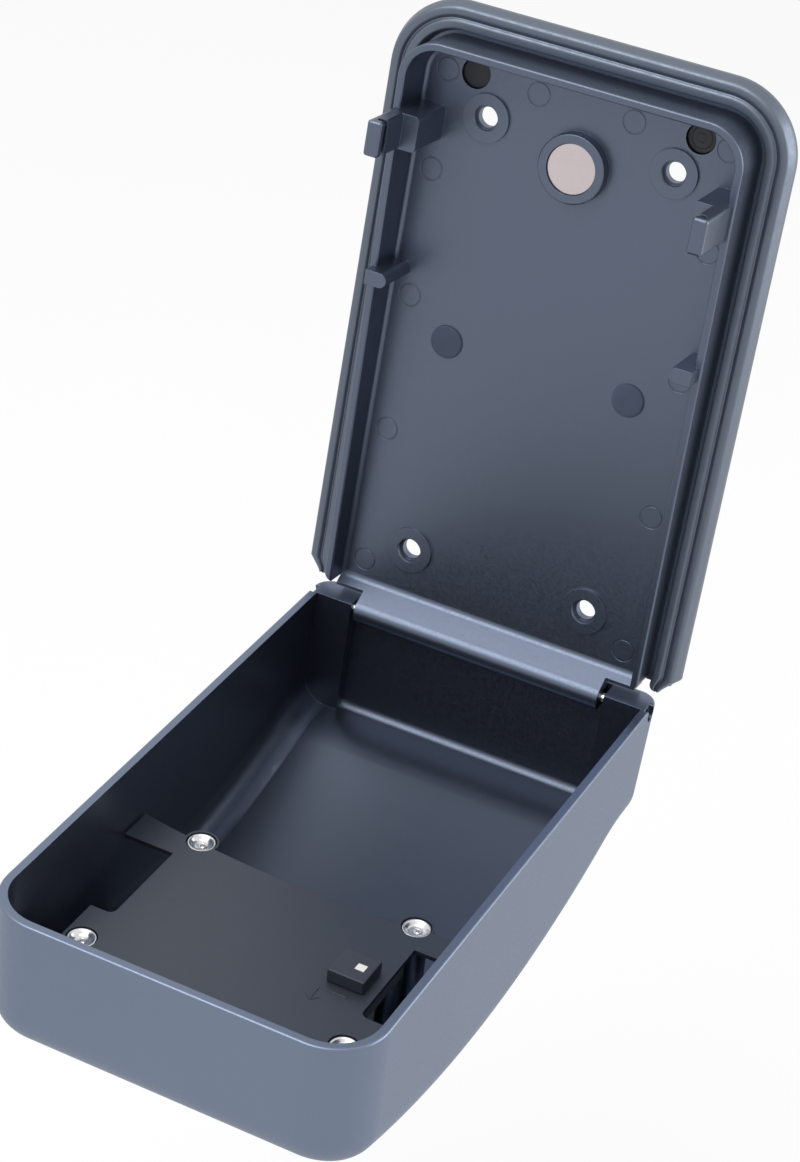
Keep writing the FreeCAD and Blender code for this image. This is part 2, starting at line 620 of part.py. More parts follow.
def crown_circle():
    """Centre and radius of the arc that most of the shell's face follows, as (out, up, radius)."""
    a = (SHELL_EDGE_OUT + CROWN_FOOT_DEEP, CROWN_FOOT_UP)
    b = (SHELL_EDGE_OUT + CROWN_MID_DEEP, CROWN_MID_UP)
    c = (SHELL_EDGE_OUT + CROWN_TOP_DEEP, SHELL_TOP_UP)
    circle = Part.Arc(point(0, *a), point(0, *b), point(0, *c)).toShape().Curve
    return -circle.Center.y, circle.Center.z + PATTERN_UP, circle.Radius


def under_crown(offset, half_width):
    """Everything behind the crowned face, moved out by an offset."""
    out, up, radius = crown_circle()
    return Part.makeCylinder(radius + offset, 2 * half_width, point(-half_width, out, up), X_DIRECTION)


def crown_deep(up):
    """Depth of the crowned face at a height."""
    out, centre_up, radius = crown_circle()
    return out + math.sqrt(radius ** 2 - (up - centre_up) ** 2) - SHELL_EDGE_OUT


def shell_form(inset, edge_out):
    """The shell's crowned box, drawn in by an inset."""
    half = SHELL_HALF_WIDTH - inset
    far = SHELL_EDGE_OUT + CROWN_MID_DEEP + 2 * OVERCUT
    shallow = SHELL_EDGE_OUT + CROWN_FOOT_DEEP - inset
    top = SHELL_TOP_UP - inset

    def foot(out):
        return SHELL_FOOT_UP + inset + SHELL_FOOT_LEAN * (out - SHELL_EDGE_OUT)

    def prism(reach):
        corners = [(edge_out, foot(edge_out)), (reach, foot(reach)), (reach, top), (edge_out, top)]
        return side_profile(corners, half)

    form = joined([prism(far).common(under_crown(-inset, half + OVERCUT)), prism(shallow)])

    def in_valley(edge):
        a, b = ends(edge)
        return abs(a.x + b.x) < 0.01 and edge.Length > half and 0 < a.z + PATTERN_UP < CROWN_MID_UP / 2 \
            and a.z + PATTERN_UP > CROWN_FOOT_UP / 2

    def at_side(edge):
        a, b = ends(edge)
        return abs(abs(a.x) - half) < 0.01 and abs(a.x - b.x) < 0.01

    def at_top(edge):
        return at_side(edge) and edge.BoundBox.ZLength < 0.01 and edge.BoundBox.ZMin > 0

    def round_the_face(edge):
        return at_side(edge) and edge.BoundBox.YMax < -SHELL_EDGE_OUT - CROWN_FOOT_DEEP / 2 \
            and edge.BoundBox.ZLength > 2 * OVERCUT

    def at_foot(edge):
        return at_side(edge) and edge.BoundBox.YLength > CROWN_FOOT_DEEP / 2 \
            and edge.BoundBox.ZMax < CROWN_FOOT_UP - PATTERN_UP

    form = rounded(form, in_valley, CROWN_VALLEY_RADIUS)
    form = rounded(form, at_top, SHELL_TOP_CORNER - inset)
    form = rounded(form, round_the_face, SHELL_FACE_FILLET - inset)
    return rounded(form, at_foot, SHELL_FOOT_CORNER - inset)


def pillar():
    """One corner pillar that holds the hinge pin."""
    far = SHELL_EDGE_OUT + CROWN_MID_DEEP
    shift = PILLAR_LEAN * (far - SHELL_EDGE_OUT)
    corners = [(SHELL_EDGE_OUT, SHELL_FOOT_UP), (far, SHELL_FOOT_UP), (far, PILLAR_FACE_UP + shift),
               (SHELL_EDGE_OUT, PILLAR_FACE_UP)]
    column = side_profile(corners, SHELL_HALF_WIDTH)
    return column.cut(block(-SHELL_HALF_WIDTH - OVERCUT, PILLAR_INNER_X, 0, far + OVERCUT,
                            SHELL_FOOT_UP - OVERCUT, SHELL_TOP_UP))


def screw_centres():
    """The four cover screws: two beside the lock body and two below it."""
    lower = (LOCK_HALF_WIDTH - LOWER_SCREW_SIDE_INSET, LOWER_SCREW_UP)
    upper = (LOCK_HALF_WIDTH + SCREW_BOSS_RADIUS + UPPER_SCREW_LOCK_GAP, LATCH_UP + UPPER_SCREW_RISE)
    return [(side * x, up) for x, up in (lower, upper) for side in (-1, 1)]


def lock_screw_centres():
    """The four screws that hold the lock body."""
    ups = (LOCK_LOW_UP + LOCK_BOSS_FOOT_INSET, LOCK_HIGH_UP - LOCK_BOSS_TOP_INSET)
    return [(side * LOCK_BOSS_X, up) for up in ups for side in (-1, 1)]


def front_shell():
    """The crowned front shell with its pillars, bosses and keypad window."""
    outer = shell_form(0, SHELL_EDGE_OUT)
    hollow = shell_form(SHELL_WALL, SHELL_EDGE_OUT - OVERCUT)
    inside = hollow.common(outer)
    fillers = both_sides(pillar())
    cover_back = SHELL_EDGE_OUT + COVER_DEEP + COVER_THICKNESS + SCREW_SEAT_DEPTH
    lock_back = SHELL_EDGE_OUT + LOCK_FAR_DEEP
    far = SHELL_EDGE_OUT + CROWN_MID_DEEP
    fillers += [post(x, up, SCREW_BOSS_RADIUS, cover_back, far) for x, up in screw_centres()]
    fillers += [post(x, up, LOCK_BOSS_RADIUS, lock_back, far) for x, up in lock_screw_centres()]
    shell = outer.cut(hollow)
    shell = joined([shell] + [filler.common(inside) for filler in fillers])
    for x, up in screw_centres():
        shell = shell.cut(post(x, up, SCREW_SHANK_RADIUS, cover_back - OVERCUT, cover_back + SCREW_SHANK_LENGTH))
    for x, up in lock_screw_centres():
        drill = LOCK_SCREW_LENGTH - (LOCK_FAR_DEEP - LOCK_NEAR_DEEP)
        shell = shell.cut(post(x, up, LOCK_SCREW_RADIUS, lock_back - OVERCUT, lock_back + drill))
    window = pad(FASCIA_HALF_WIDTH + SLIDE_GAP, FASCIA_LOW_UP - SLIDE_GAP, FASCIA_HIGH_UP + SLIDE_GAP,
                 FASCIA_CORNER, FASCIA_CORNER, lock_back, far + 2 * OVERCUT)
    shell = shell.cut(window)
    bore = Part.makeCylinder(PIN_RADIUS, 2 * SHELL_HALF_WIDTH + 2 * OVERCUT,
                             point(-SHELL_HALF_WIDTH - OVERCUT, AXIS_OUT, 0), X_DIRECTION)
    shell = shell.cut(bore)
    sink = Part.makeCylinder(PIN_SINK_RADIUS, PIN_SINK_DEPTH + OVERCUT,
                             point(SHELL_HALF_WIDTH - PIN_SINK_DEPTH, AXIS_OUT, 0), X_DIRECTION)
    shell = shell.cut(both_sides(sink))
    return edge_rounded(shell)


def edge_rounded(shell):
    """The shell with the outside of its open edge rounded over."""
    def along_edge(edge):
        box = edge.BoundBox
        flat = box.YLength < 0.01 and abs(-box.YMin - SHELL_EDGE_OUT) < 0.01
        outside = max(abs(box.XMin), abs(box.XMax)) > SHELL_HALF_WIDTH - SHELL_WALL / 2
        across = max(box.ZMax, -box.ZMin - 2 * PATTERN_UP) > SHELL_TOP_UP - PATTERN_UP - SHELL_WALL / 2
        foot = box.ZMin < SHELL_FOOT_UP - PATTERN_UP + SHELL_WALL / 2
        return flat and (outside or across or foot)
    return rounded(shell, along_edge, SHELL_EDGE_ROUNDING)


def hinge_pin():
    """The steel pin, held by the shell's pillars."""
    half = SHELL_HALF_WIDTH - SHELL_WALL
    return Part.makeCylinder(PIN_RADIUS, 2 * half, point(-half, AXIS_OUT, 0), X_DIRECTION)


def cover_plate():
    """The sheet over the lock, notched where the hooks pass it, with a sunk seat for each screw."""
    near = SHELL_EDGE_OUT + COVER_DEEP
    far = near + COVER_THICKNESS
    sheet = shell_form(SHELL_WALL + COVER_WALL_GAP, SHELL_EDGE_OUT - OVERCUT)
    sheet = sheet.common(block(-SHELL_HALF_WIDTH, SHELL_HALF_WIDTH, near, far,
                               COVER_EDGE_UP - COVER_EDGE_BOW, SHELL_TOP_UP))
    wide = SHELL_HALF_WIDTH + OVERCUT
    low = COVER_EDGE_UP - COVER_EDGE_BOW
    rim = [Part.Arc(point(-wide, near - OVERCUT, low), point(0, near - OVERCUT, COVER_EDGE_UP),
                    point(wide, near - OVERCUT, low)).toShape(),
           Part.makeLine(point(wide, near - OVERCUT, low), point(-wide, near - OVERCUT, low))]
    sheet = sheet.cut(Part.Face(Part.Wire(rim)).extrude(-Y_DIRECTION * (far - near + 2 * OVERCUT)))
    window = pad((wide - COVER_WINDOW_X) / 2, COVER_WINDOW_LOW_UP, COVER_WINDOW_HIGH_UP, 0.5,
                 COVER_CORNER_RADIUS, near - OVERCUT, far + OVERCUT, (wide + COVER_WINDOW_X) / 2)
    side = block(COVER_SIDE_X, wide, near - OVERCUT, far + OVERCUT, COVER_WINDOW_HIGH_UP - COVER_CORNER_RADIUS,
                 SHELL_TOP_UP)
    for cutter in (window, side):
        sheet = sheet.cut(cutter).cut(mirrored(cutter))
    seat_radius = SCREW_HEAD_RADIUS + SLIDE_GAP
    seat_back = far + SCREW_SEAT_DEPTH
    cups = [post(x, up, seat_radius + SCREW_SEAT_WALL, near, seat_back) for x, up in screw_centres()]
    sheet = joined([sheet] + cups)
    for x, up in screw_centres():
        sheet = sheet.cut(post(x, up, seat_radius, near - OVERCUT, near + SCREW_SEAT_DEPTH))
        sheet = sheet.cut(post(x, up, SCREW_SHANK_RADIUS + SLIDE_GAP, near, seat_back + OVERCUT))
    neck = SLIDE_NECK_WIDTH / 2 + SLIDE_GAP
    slot = block(SLIDE_BLOCK_X - neck - SLIDE_TRAVEL, SLIDE_BLOCK_X + neck, near - OVERCUT, far + OVERCUT,
                 SLIDE_BLOCK_UP - neck, SLIDE_BLOCK_UP + neck)
    return sheet.cut(slot)


def cover_screws():
    """Four dished screws, sunk in the cover's seats."""
    seat = SHELL_EDGE_OUT + COVER_DEEP + SCREW_SEAT_DEPTH
    top = seat - SCREW_HEAD_HEIGHT
    screws = []
    for x, up in screw_centres():
        head = post(x, up, SCREW_HEAD_RADIUS, top, seat)
        shank = post(x, up, SCREW_SHANK_RADIUS, seat, seat + SCREW_SHANK_LENGTH)
        dish = Part.makeCone(SCREW_DISH_RADIUS, SCREW_DISH_FLOOR_RADIUS, SCREW_DISH_DEPTH,
                             point(x, top, up), -Y_DIRECTION)
        drive = post(x, up, SCREW_DRIVE_RADIUS, top, top + SCREW_DRIVE_DEPTH)
        screws.append(joined([head, shank]).cut(dish).cut(drive))
    return Part.makeCompound(screws)


def code_change_slide():
    """The small block on the cover that is pushed across to set a new code."""
    near = SHELL_EDGE_OUT + COVER_DEEP
    back = near + COVER_THICKNESS
    half = SLIDE_BLOCK_SIZE / 2
    neck = SLIDE_NECK_WIDTH / 2
    foot = SLIDE_FOOT_WIDTH / 2
    x, up = SLIDE_BLOCK_X, SLIDE_BLOCK_UP
    cap_foot = near - SEAT_GAP
    cap = block(x - half, x + half, cap_foot - SLIDE_BLOCK_HEIGHT + SEAT_GAP, cap_foot, up - half, up + half)
    cap = rounded(cap, lambda edge: edge.BoundBox.YMin > -cap_foot + OVERCUT
                  or edge.BoundBox.YLength > OVERCUT, SLIDE_MARK_DEPTH)
    stalk = block(x - neck, x + neck, cap_foot, back + SEAT_GAP, up - neck, up + neck)
    sole = block(x - foot, x + foot, back + SEAT_GAP, back + SEAT_GAP + SLIDE_FOOT_THICKNESS, up - foot, up + foot)
    mark = SLIDE_MARK_SIZE / 2
    pocket = block(x + half / 3 - mark, x + half / 3 + mark, near - SLIDE_BLOCK_HEIGHT - OVERCUT,
                   near - SLIDE_BLOCK_HEIGHT + SLIDE_MARK_DEPTH, up - mark, up + mark)
    return joined([cap, stalk, sole]).cut(pocket)


def slide_mark():
    """The pale square let into the slide's cap."""
    near = SHELL_EDGE_OUT + COVER_DEEP - SLIDE_BLOCK_HEIGHT
    mark = SLIDE_MARK_SIZE / 2
    x = SLIDE_BLOCK_X + SLIDE_BLOCK_SIZE / 6
    return block(x - mark, x + mark, near + SLIDE_MARK_DEPTH / 4, near + SLIDE_MARK_DEPTH,
                 SLIDE_BLOCK_UP - mark, SLIDE_BLOCK_UP + mark)


# Keypad

def button_spots():
    """The ten digit buttons as (name, x, up), reading down the two columns."""
    spots = []
    for digit in range(2 * BUTTON_ROWS):
        column, row = divmod(digit, BUTTON_ROWS)
        up = BUTTON_FIRST_UP + (BUTTON_ROWS - 1 - row) * BUTTON_PITCH
        spots.append(("button_" + str((digit + 1) % 10), (-1, 1)[column] * BUTTON_COLUMN_X, up))
    return spots


def fascia():
    """The keypad frame that fills the window and follows the crown."""
    near = SHELL_EDGE_OUT + LOCK_FAR_DEEP
    far = SHELL_EDGE_OUT + CROWN_MID_DEEP + FASCIA_PROUD + OVERCUT
    wide = SHELL_HALF_WIDTH
    plug = pad(FASCIA_HALF_WIDTH, FASCIA_LOW_UP, FASCIA_HIGH_UP, FASCIA_CORNER, FASCIA_CORNER, near, far)
    plug = plug.common(under_crown(FASCIA_PROUD, wide))
    rim = pad(FASCIA_HALF_WIDTH + FASCIA_FLANGE - SHELL_WALL / 2, FASCIA_LOW_UP - FASCIA_FLANGE,
              FASCIA_HIGH_UP + FASCIA_FLANGE, FASCIA_CORNER + FASCIA_FLANGE, FASCIA_CORNER + FASCIA_FLANGE,
              near, far)
    rim = rim.common(shell_form(SHELL_WALL, SHELL_EDGE_OUT - OVERCUT))
    frame = joined([plug, rim]).cut(under_crown(-SHELL_WALL - FASCIA_FLANGE_THICKNESS, wide))
    for name, x, up in button_spots():
        half_height = BUTTON_HEIGHT / 2 + SLIDE_GAP
        frame = frame.cut(pad(BUTTON_WIDTH / 2 + SLIDE_GAP, up - half_height, up + half_height,
                              BUTTON_CORNER, BUTTON_CORNER, near - OVERCUT, far + OVERCUT, x))
    frame = frame.cut(post(0, CLEAR_BUTTON_UP, CLEAR_BUTTON_RADIUS + SLIDE_GAP, near - OVERCUT, far + OVERCUT))
    return frame.cut(post(0, LATCH_UP, SPINDLE_RADIUS + RUNNING_FIT, near - OVERCUT, far + OVERCUT))


def lowest_inner_deep(up, half_height):
    """Depth of the fascia's inner face at the shallower end of a button."""
    top = crown_deep(up + half_height)
    foot = crown_deep(up - half_height)
    return min(top, foot) - SHELL_WALL - FASCIA_FLANGE_THICKNESS


def stem(x, up, collar_deep):
    """The button's stem, which runs in the lock body's bore."""
    near = SHELL_EDGE_OUT + LOCK_NEAR_DEEP + BUTTON_TRAVEL + SEAT_GAP
    return post(x, up, STEM_RADIUS, near, SHELL_EDGE_OUT + collar_deep)


def digit_button(x, up):
    """One rectangular button: cap, retaining collar and stem."""
    far = SHELL_EDGE_OUT + CROWN_MID_DEEP + BUTTON_PROUD + OVERCUT
    reach = BUTTON_HEIGHT / 2 + BUTTON_COLLAR
    collar_far = SHELL_EDGE_OUT + lowest_inner_deep(up, reach) - SEAT_GAP
    collar_near = collar_far - BUTTON_COLLAR_THICKNESS
    cap = pad(BUTTON_WIDTH / 2, up - BUTTON_HEIGHT / 2, up + BUTTON_HEIGHT / 2, BUTTON_CORNER, BUTTON_CORNER,
              collar_near, far, x)
    cap = cap.common(under_crown(BUTTON_PROUD, SHELL_HALF_WIDTH))
    collar = pad(BUTTON_WIDTH / 2 + BUTTON_COLLAR, up - reach, up + reach, BUTTON_CORNER, BUTTON_CORNER,
                 collar_near, collar_far, x)
    return joined([cap, collar, stem(x, up, collar_near - SHELL_EDGE_OUT + SEAT_GAP)]), collar_near


def clear_button():
    """The round button that clears a wrong code."""
    far = SHELL_EDGE_OUT + CROWN_MID_DEEP + BUTTON_PROUD + OVERCUT
    reach = CLEAR_BUTTON_RADIUS + BUTTON_COLLAR
    up = CLEAR_BUTTON_UP
    collar_far = SHELL_EDGE_OUT + lowest_inner_deep(up, reach) - SEAT_GAP
    collar_near = collar_far - BUTTON_COLLAR_THICKNESS
    cap = post(0, up, CLEAR_BUTTON_RADIUS, collar_near, far).common(under_crown(BUTTON_PROUD, SHELL_HALF_WIDTH))
    collar = post(0, up, reach, collar_near, collar_far)
    return joined([cap, collar, stem(0, up, collar_near - SHELL_EDGE_OUT + SEAT_GAP)]), collar_near


def spring(x, up, collar_near):
    """One coil spring on the lock body round a button's stem, as long as when the button is pressed."""
    base = SHELL_EDGE_OUT + LOCK_FAR_DEEP + SPRING_WIRE_RADIUS
    height = collar_near - BUTTON_TRAVEL - SEAT_GAP - SPRING_WIRE_RADIUS - base
    steps = SPRING_TURNS * SPRING_STEPS_PER_TURN
    corners = []
    for step in range(steps + 1):
        angle = 2 * math.pi * step / SPRING_STEPS_PER_TURN
        corners.append(FreeCAD.Vector(SPRING_MEAN_RADIUS * math.cos(angle), SPRING_MEAN_RADIUS * math.sin(angle),
                                      height * step / steps))
    wire = Part.Circle(corners[0], corners[1] - corners[0], SPRING_WIRE_RADIUS).toShape()
    coil = Part.makePolygon(corners).makePipeShell([Part.Wire([wire])], True, False, MITRE_MODE)
    coil.rotate(FreeCAD.Vector(0, 0, 0), X_DIRECTION, 90)
    coil.translate(point(x, base, up))
    return coil


# Lock body, latch bolts and knob

def lock_body():
    """The block that guides the buttons' stems and the two latch bolts."""
    near = SHELL_EDGE_OUT + LOCK_NEAR_DEEP
    far = SHELL_EDGE_OUT + LOCK_FAR_DEEP
    slab = pad(LOCK_HALF_WIDTH, LOCK_LOW_UP, LOCK_HIGH_UP, LOCK_CORNER, LOCK_CORNER, near, far)
    rib_out = SHELL_EDGE_OUT + BOLT_NEAR_DEEP - SEAT_GAP
    parts = [slab]
    start, end = GUIDE_RIB_START_X, LOCK_HALF_WIDTH - GUIDE_RIB_END_INSET
    for low in (LATCH_UP + BOLT_HALF_HEIGHT + SLIDE_GAP,
                LATCH_UP - BOLT_HALF_HEIGHT - SLIDE_GAP - GUIDE_RIB_WIDTH):
        parts += both_sides(block(start, end, rib_out, near, low, low + GUIDE_RIB_WIDTH))
    body = joined(parts)
    for name, x, up in button_spots():
        body = body.cut(post(x, up, STEM_RADIUS + RUNNING_FIT, near - OVERCUT, far + OVERCUT))
    body = body.cut(post(0, CLEAR_BUTTON_UP, STEM_RADIUS + RUNNING_FIT, near - OVERCUT, far + OVERCUT))
    body = body.cut(post(0, LATCH_UP, SPINDLE_RADIUS + RUNNING_FIT, near - OVERCUT, far + OVERCUT))
    for x, up in lock_screw_centres():
        body = body.cut(post(x, up, LOCK_SCREW_RADIUS + SLIDE_GAP, near - OVERCUT, far + OVERCUT))
    return body


def lock_screws():
    """Four small screws that hold the lock body to its bosses."""
    face = SHELL_EDGE_OUT + LOCK_NEAR_DEEP
    screws = []
    for x, up in lock_screw_centres():
        head = post(x, up, LOCK_SCREW_HEAD_RADIUS, face - LOCK_SCREW_HEAD_HEIGHT, face)
        shank = post(x, up, LOCK_SCREW_RADIUS, face, face + LOCK_SCREW_LENGTH)
        screws.append(joined([head, shank]))
    return Part.makeCompound(screws)


def crank_angle():
    """Half of the knob's turn, so that the crank pins swing evenly about the vertical."""
    return math.radians(KNOB_TURN / 2)


def latch_bolt():
    """The right bolt: a bar towards the hook, and a lug with a slot for the crank pin."""
    near = SHELL_EDGE_OUT + BOLT_NEAR_DEEP
    far = near + BOLT_THICKNESS
    bar = block(BOLT_ROOT_X, BOLT_TIP_X, near, far, LATCH_UP - BOLT_HALF_HEIGHT, LATCH_UP + BOLT_HALF_HEIGHT)
    lug = block(LUG_END_X, BOLT_ROOT_X + LUG_LOW, near, far, LATCH_UP + LUG_LOW, LATCH_UP + LUG_HIGH)
    neck = block(BOLT_ROOT_X, BOLT_ROOT_X + LUG_LOW, near, far, LATCH_UP, LATCH_UP + LUG_HIGH)
    pin_x = -CRANK_RADIUS * math.sin(crank_angle())
    half_slot = CRANK_PIN_RADIUS + CRANK_PIN_CLEARANCE
    slot = block(pin_x - half_slot, pin_x + half_slot, near - OVERCUT, far + OVERCUT, LATCH_UP + LUG_LOW - OVERCUT,
                 LATCH_UP + CRANK_RADIUS + half_slot)
    return joined([bar, neck, lug]).cut(slot)


def turned_over(solid):
    """The solid turned half round the knob's axis."""
    copy = solid.copy()
    copy.rotate(point(0, 0, LATCH_UP), Y_DIRECTION, 180)
    return copy


def latch_cam():
    """The disc on the spindle with a crank pin for each bolt."""
    far = SHELL_EDGE_OUT + BOLT_NEAR_DEEP - SEAT_GAP
    near = far - CAM_THICKNESS
    disc = post(0, LATCH_UP, CAM_RADIUS, near, far)
    x = -CRANK_RADIUS * math.sin(crank_angle())
    up = CRANK_RADIUS * math.cos(crank_angle())
    pin_far = SHELL_EDGE_OUT + BOLT_NEAR_DEEP + BOLT_THICKNESS
    pin = post(x, LATCH_UP + up, CRANK_PIN_RADIUS, near, pin_far)
    return joined([disc, pin, turned_over(pin)]).cut(post(0, LATCH_UP, SPINDLE_RADIUS, near - OVERCUT,
                                                         far + OVERCUT))


def spindle():
    """The shaft from the knob through the lock body to the cam."""
    near = SHELL_EDGE_OUT + BOLT_NEAR_DEEP - SEAT_GAP - CAM_THICKNESS
    far = knob_seat_out() + KNOB_DISC_THICKNESS / 2
    groove_near, groove_far = clip_outs()
    shaft = post(0, LATCH_UP, SPINDLE_RADIUS, near, far)
    ring = post(0, LATCH_UP, SPINDLE_RADIUS + OVERCUT, groove_near, groove_far)
    return shaft.cut(ring.cut(post(0, LATCH_UP, SPINDLE_RADIUS - CLIP_THICKNESS, groove_near, groove_far)))


def clip_outs():
    """Where the clip sits on the spindle, just outside the lock body."""
    near = SHELL_EDGE_OUT + LOCK_FAR_DEEP + SEAT_GAP
    return near, near + CLIP_THICKNESS


def spindle_clip():
    """The open ring that holds the spindle in the lock body."""
    near, far = clip_outs()
    ring = post(0, LATCH_UP, CLIP_RADIUS, near, far).cut(
        post(0, LATCH_UP, SPINDLE_RADIUS - CLIP_THICKNESS, near - OVERCUT, far + OVERCUT))
    gap = SPINDLE_RADIUS - CLIP_THICKNESS
    return ring.cut(block(-gap, gap, near - OVERCUT, far + OVERCUT, LATCH_UP, LATCH_UP + CLIP_RADIUS + OVERCUT))


def knob_seat_out():
    """Where the knob's underside lies, clear of the highest part of the fascia beneath it."""
    return SHELL_EDGE_OUT + crown_deep(LATCH_UP - KNOB_RADIUS) + FASCIA_PROUD + KNOB_GAP


def knob():
    """The turning knob with a raised finger grip."""
    seat = knob_seat_out()
    top = seat + KNOB_DISC_THICKNESS
    disc = post(0, LATCH_UP, KNOB_RADIUS, seat, top)
    disc = rounded(disc, lambda edge: edge.BoundBox.YMax < -top + 0.01 and edge.BoundBox.XLength > OVERCUT,
                   KNOB_EDGE)
    grip = pad(KNOB_GRIP_WIDTH / 2, LATCH_UP - KNOB_RADIUS + KNOB_EDGE, LATCH_UP + KNOB_RADIUS - KNOB_EDGE,
               KNOB_GRIP_WIDTH / 2 - 0.1, KNOB_GRIP_WIDTH / 2 - 0.1, seat, top + KNOB_GRIP_HEIGHT)
    grip_top = -top - KNOB_GRIP_HEIGHT
    grip = rounded(grip, lambda edge: edge.BoundBox.YMax < grip_top + 0.01, KNOB_EDGE)
    socket = post(0, LATCH_UP, SPINDLE_RADIUS, seat - OVERCUT, seat + KNOB_DISC_THICKNESS / 2)
    return joined([disc, grip]).cut(socket)


def main():
    """Build and write every node."""
    save(back_plate(), "back_plate")
    save(weather_seal(), "weather_seal")
    save(magnet(), "key_magnet")
    save(bumpers(), "rubber_bumpers")
    save(corner_plugs(), "corner_plugs")
    save_open(front_shell(), "front_shell")
    save_open(hinge_pin(), "hinge_pin")
    save_open(cover_plate(), "lock_cover_plate")
    save_open(cover_screws(), "cover_screws")
    save_open(code_change_slide(), "code_change_slide")
    save_open(slide_mark(), "slide_mark")
    save_open(fascia(), "keypad_fascia")
    springs = []
    for name, x, up in button_spots():
        solid, collar_near = digit_button(x, up)
        save_open(solid, name)
        springs.append(spring(x, up, collar_near))
    solid, collar_near = clear_button()
    save_open(solid, "clear_button")
    springs.append(spring(0, CLEAR_BUTTON_UP, collar_near))
    save_open(Part.makeCompound(springs), "button_springs")
    save_open(lock_body(), "lock_body")
    save_open(lock_screws(), "lock_screws")
    save_open(latch_bolt(), "latch_bolt_right")
    save_open(turned_over(latch_bolt()), "latch_bolt_left")
    save_open(latch_cam(), "latch_cam")
    save_open(spindle(), "knob_spindle")
    save_open(spindle_clip(), "spindle_clip")
    save_open(knob(), "turn_knob")


main()
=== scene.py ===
"""Dress the wall key box: coat, rubber, screws, magnet, key digits, studio and camera."""
import logging
import math
from dataclasses import dataclass
from enum import Enum
from typing import Callable, Sequence

import bmesh
import bpy
from mathutils import Matrix, Vector


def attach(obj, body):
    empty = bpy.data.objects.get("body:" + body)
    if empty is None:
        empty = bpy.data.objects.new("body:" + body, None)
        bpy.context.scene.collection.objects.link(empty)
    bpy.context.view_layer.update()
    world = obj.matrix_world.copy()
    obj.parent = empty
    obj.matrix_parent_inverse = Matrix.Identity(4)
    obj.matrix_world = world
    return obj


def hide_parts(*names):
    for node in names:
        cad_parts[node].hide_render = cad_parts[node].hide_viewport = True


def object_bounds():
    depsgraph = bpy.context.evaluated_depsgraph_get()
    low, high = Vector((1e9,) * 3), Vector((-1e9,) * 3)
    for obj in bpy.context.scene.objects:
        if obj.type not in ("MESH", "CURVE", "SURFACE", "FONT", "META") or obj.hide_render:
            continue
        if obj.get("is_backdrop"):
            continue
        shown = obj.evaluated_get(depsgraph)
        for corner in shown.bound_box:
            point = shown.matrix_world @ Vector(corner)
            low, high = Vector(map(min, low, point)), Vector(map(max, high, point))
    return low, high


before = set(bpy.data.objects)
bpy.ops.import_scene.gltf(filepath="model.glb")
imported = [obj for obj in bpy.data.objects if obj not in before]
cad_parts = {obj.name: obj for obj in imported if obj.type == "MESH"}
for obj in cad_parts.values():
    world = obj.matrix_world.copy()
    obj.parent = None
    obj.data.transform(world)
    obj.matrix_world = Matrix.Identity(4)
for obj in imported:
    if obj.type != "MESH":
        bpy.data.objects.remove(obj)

LOG = logging.getLogger("key_box")
Pair = tuple[float, float]
Colour = tuple[float, float, float]
MM = 0.001
MERGE_DISTANCE = 1e-7


class Body(Enum):
    """The CAD bodies that pieces ride on."""

    WALL = "wall_plate"
    SHELL = "shell"
    CLEAR = "clear_key"


class Facing(Enum):
    """Which pose a piece's numbers are given in."""

    PLATE = "plate"
    SHUT_SHELL = "shut shell"


@dataclass(frozen=True)
class Layout:
    """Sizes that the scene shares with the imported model, in millimetres.

    "out" is the distance from the wall, "up" the height above the hinge axis.
    """

    pattern_up: float = 84.2
    axis_out: float = 7.1
    opening_degrees: float = 97.7
    shell_edge_out: float = 5.2
    crown_points: tuple[Pair, Pair, Pair] = ((13.2, 36.8), (85.0, 50.4), (171.9, 37.0))

    def place(self, x: float, out: float, up: float) -> Vector:
        """Turn a side, a distance from the wall and a height into a scene point.

        Args:
            x: distance to the right of the middle, in mm.
            out: distance from the wall, in mm.
            up: height above the hinge axis, in mm.

        Returns:
            The point in metres.
        """
        return Vector((x, -out, up - self.pattern_up)) * MM

    def swing(self) -> Matrix:
        """The turn that takes the shut shell to its open rest pose.

        Returns:
            The turn about the hinge axis, in metres.
        """
        axis = self.place(0.0, self.axis_out, 0.0)
        turn = Matrix.Rotation(math.radians(self.opening_degrees), 4, "X")
        return Matrix.Translation(axis) @ turn @ Matrix.Translation(-axis)

    def crown(self) -> tuple[float, float, float]:
        """The arc of the shell's face.

        Returns:
            Its centre as up and deep, and its radius, in mm.
        """
        (u0, d0), (u1, d1), (u2, d2) = self.crown_points
        a, b, c = u0 * u0 + d0 * d0, u1 * u1 + d1 * d1, u2 * u2 + d2 * d2
        cross = 2.0 * (u0 * (d1 - d2) + u1 * (d2 - d0) + u2 * (d0 - d1))
        up = (a * (d1 - d2) + b * (d2 - d0) + c * (d0 - d1)) / cross
        deep = (a * (u2 - u1) + b * (u0 - u2) + c * (u1 - u0)) / cross
        return up, deep, math.hypot(u0 - up, d0 - deep)

    def crown_out(self, up: float, offset: float) -> float:
        """Distance from the wall of the shut shell's face at a height, raised by an offset."""
        centre_up, centre_deep, radius = self.crown()
        return self.shell_edge_out + centre_deep + math.sqrt((radius + offset) ** 2 - (up - centre_up) ** 2)

    def crown_tilt(self, up: float) -> float:
        """Slope angle of the shell's face at a height, in radians."""
        centre_up, _, radius = self.crown()
        return math.asin((up - centre_up) / radius)


LAYOUT = Layout()


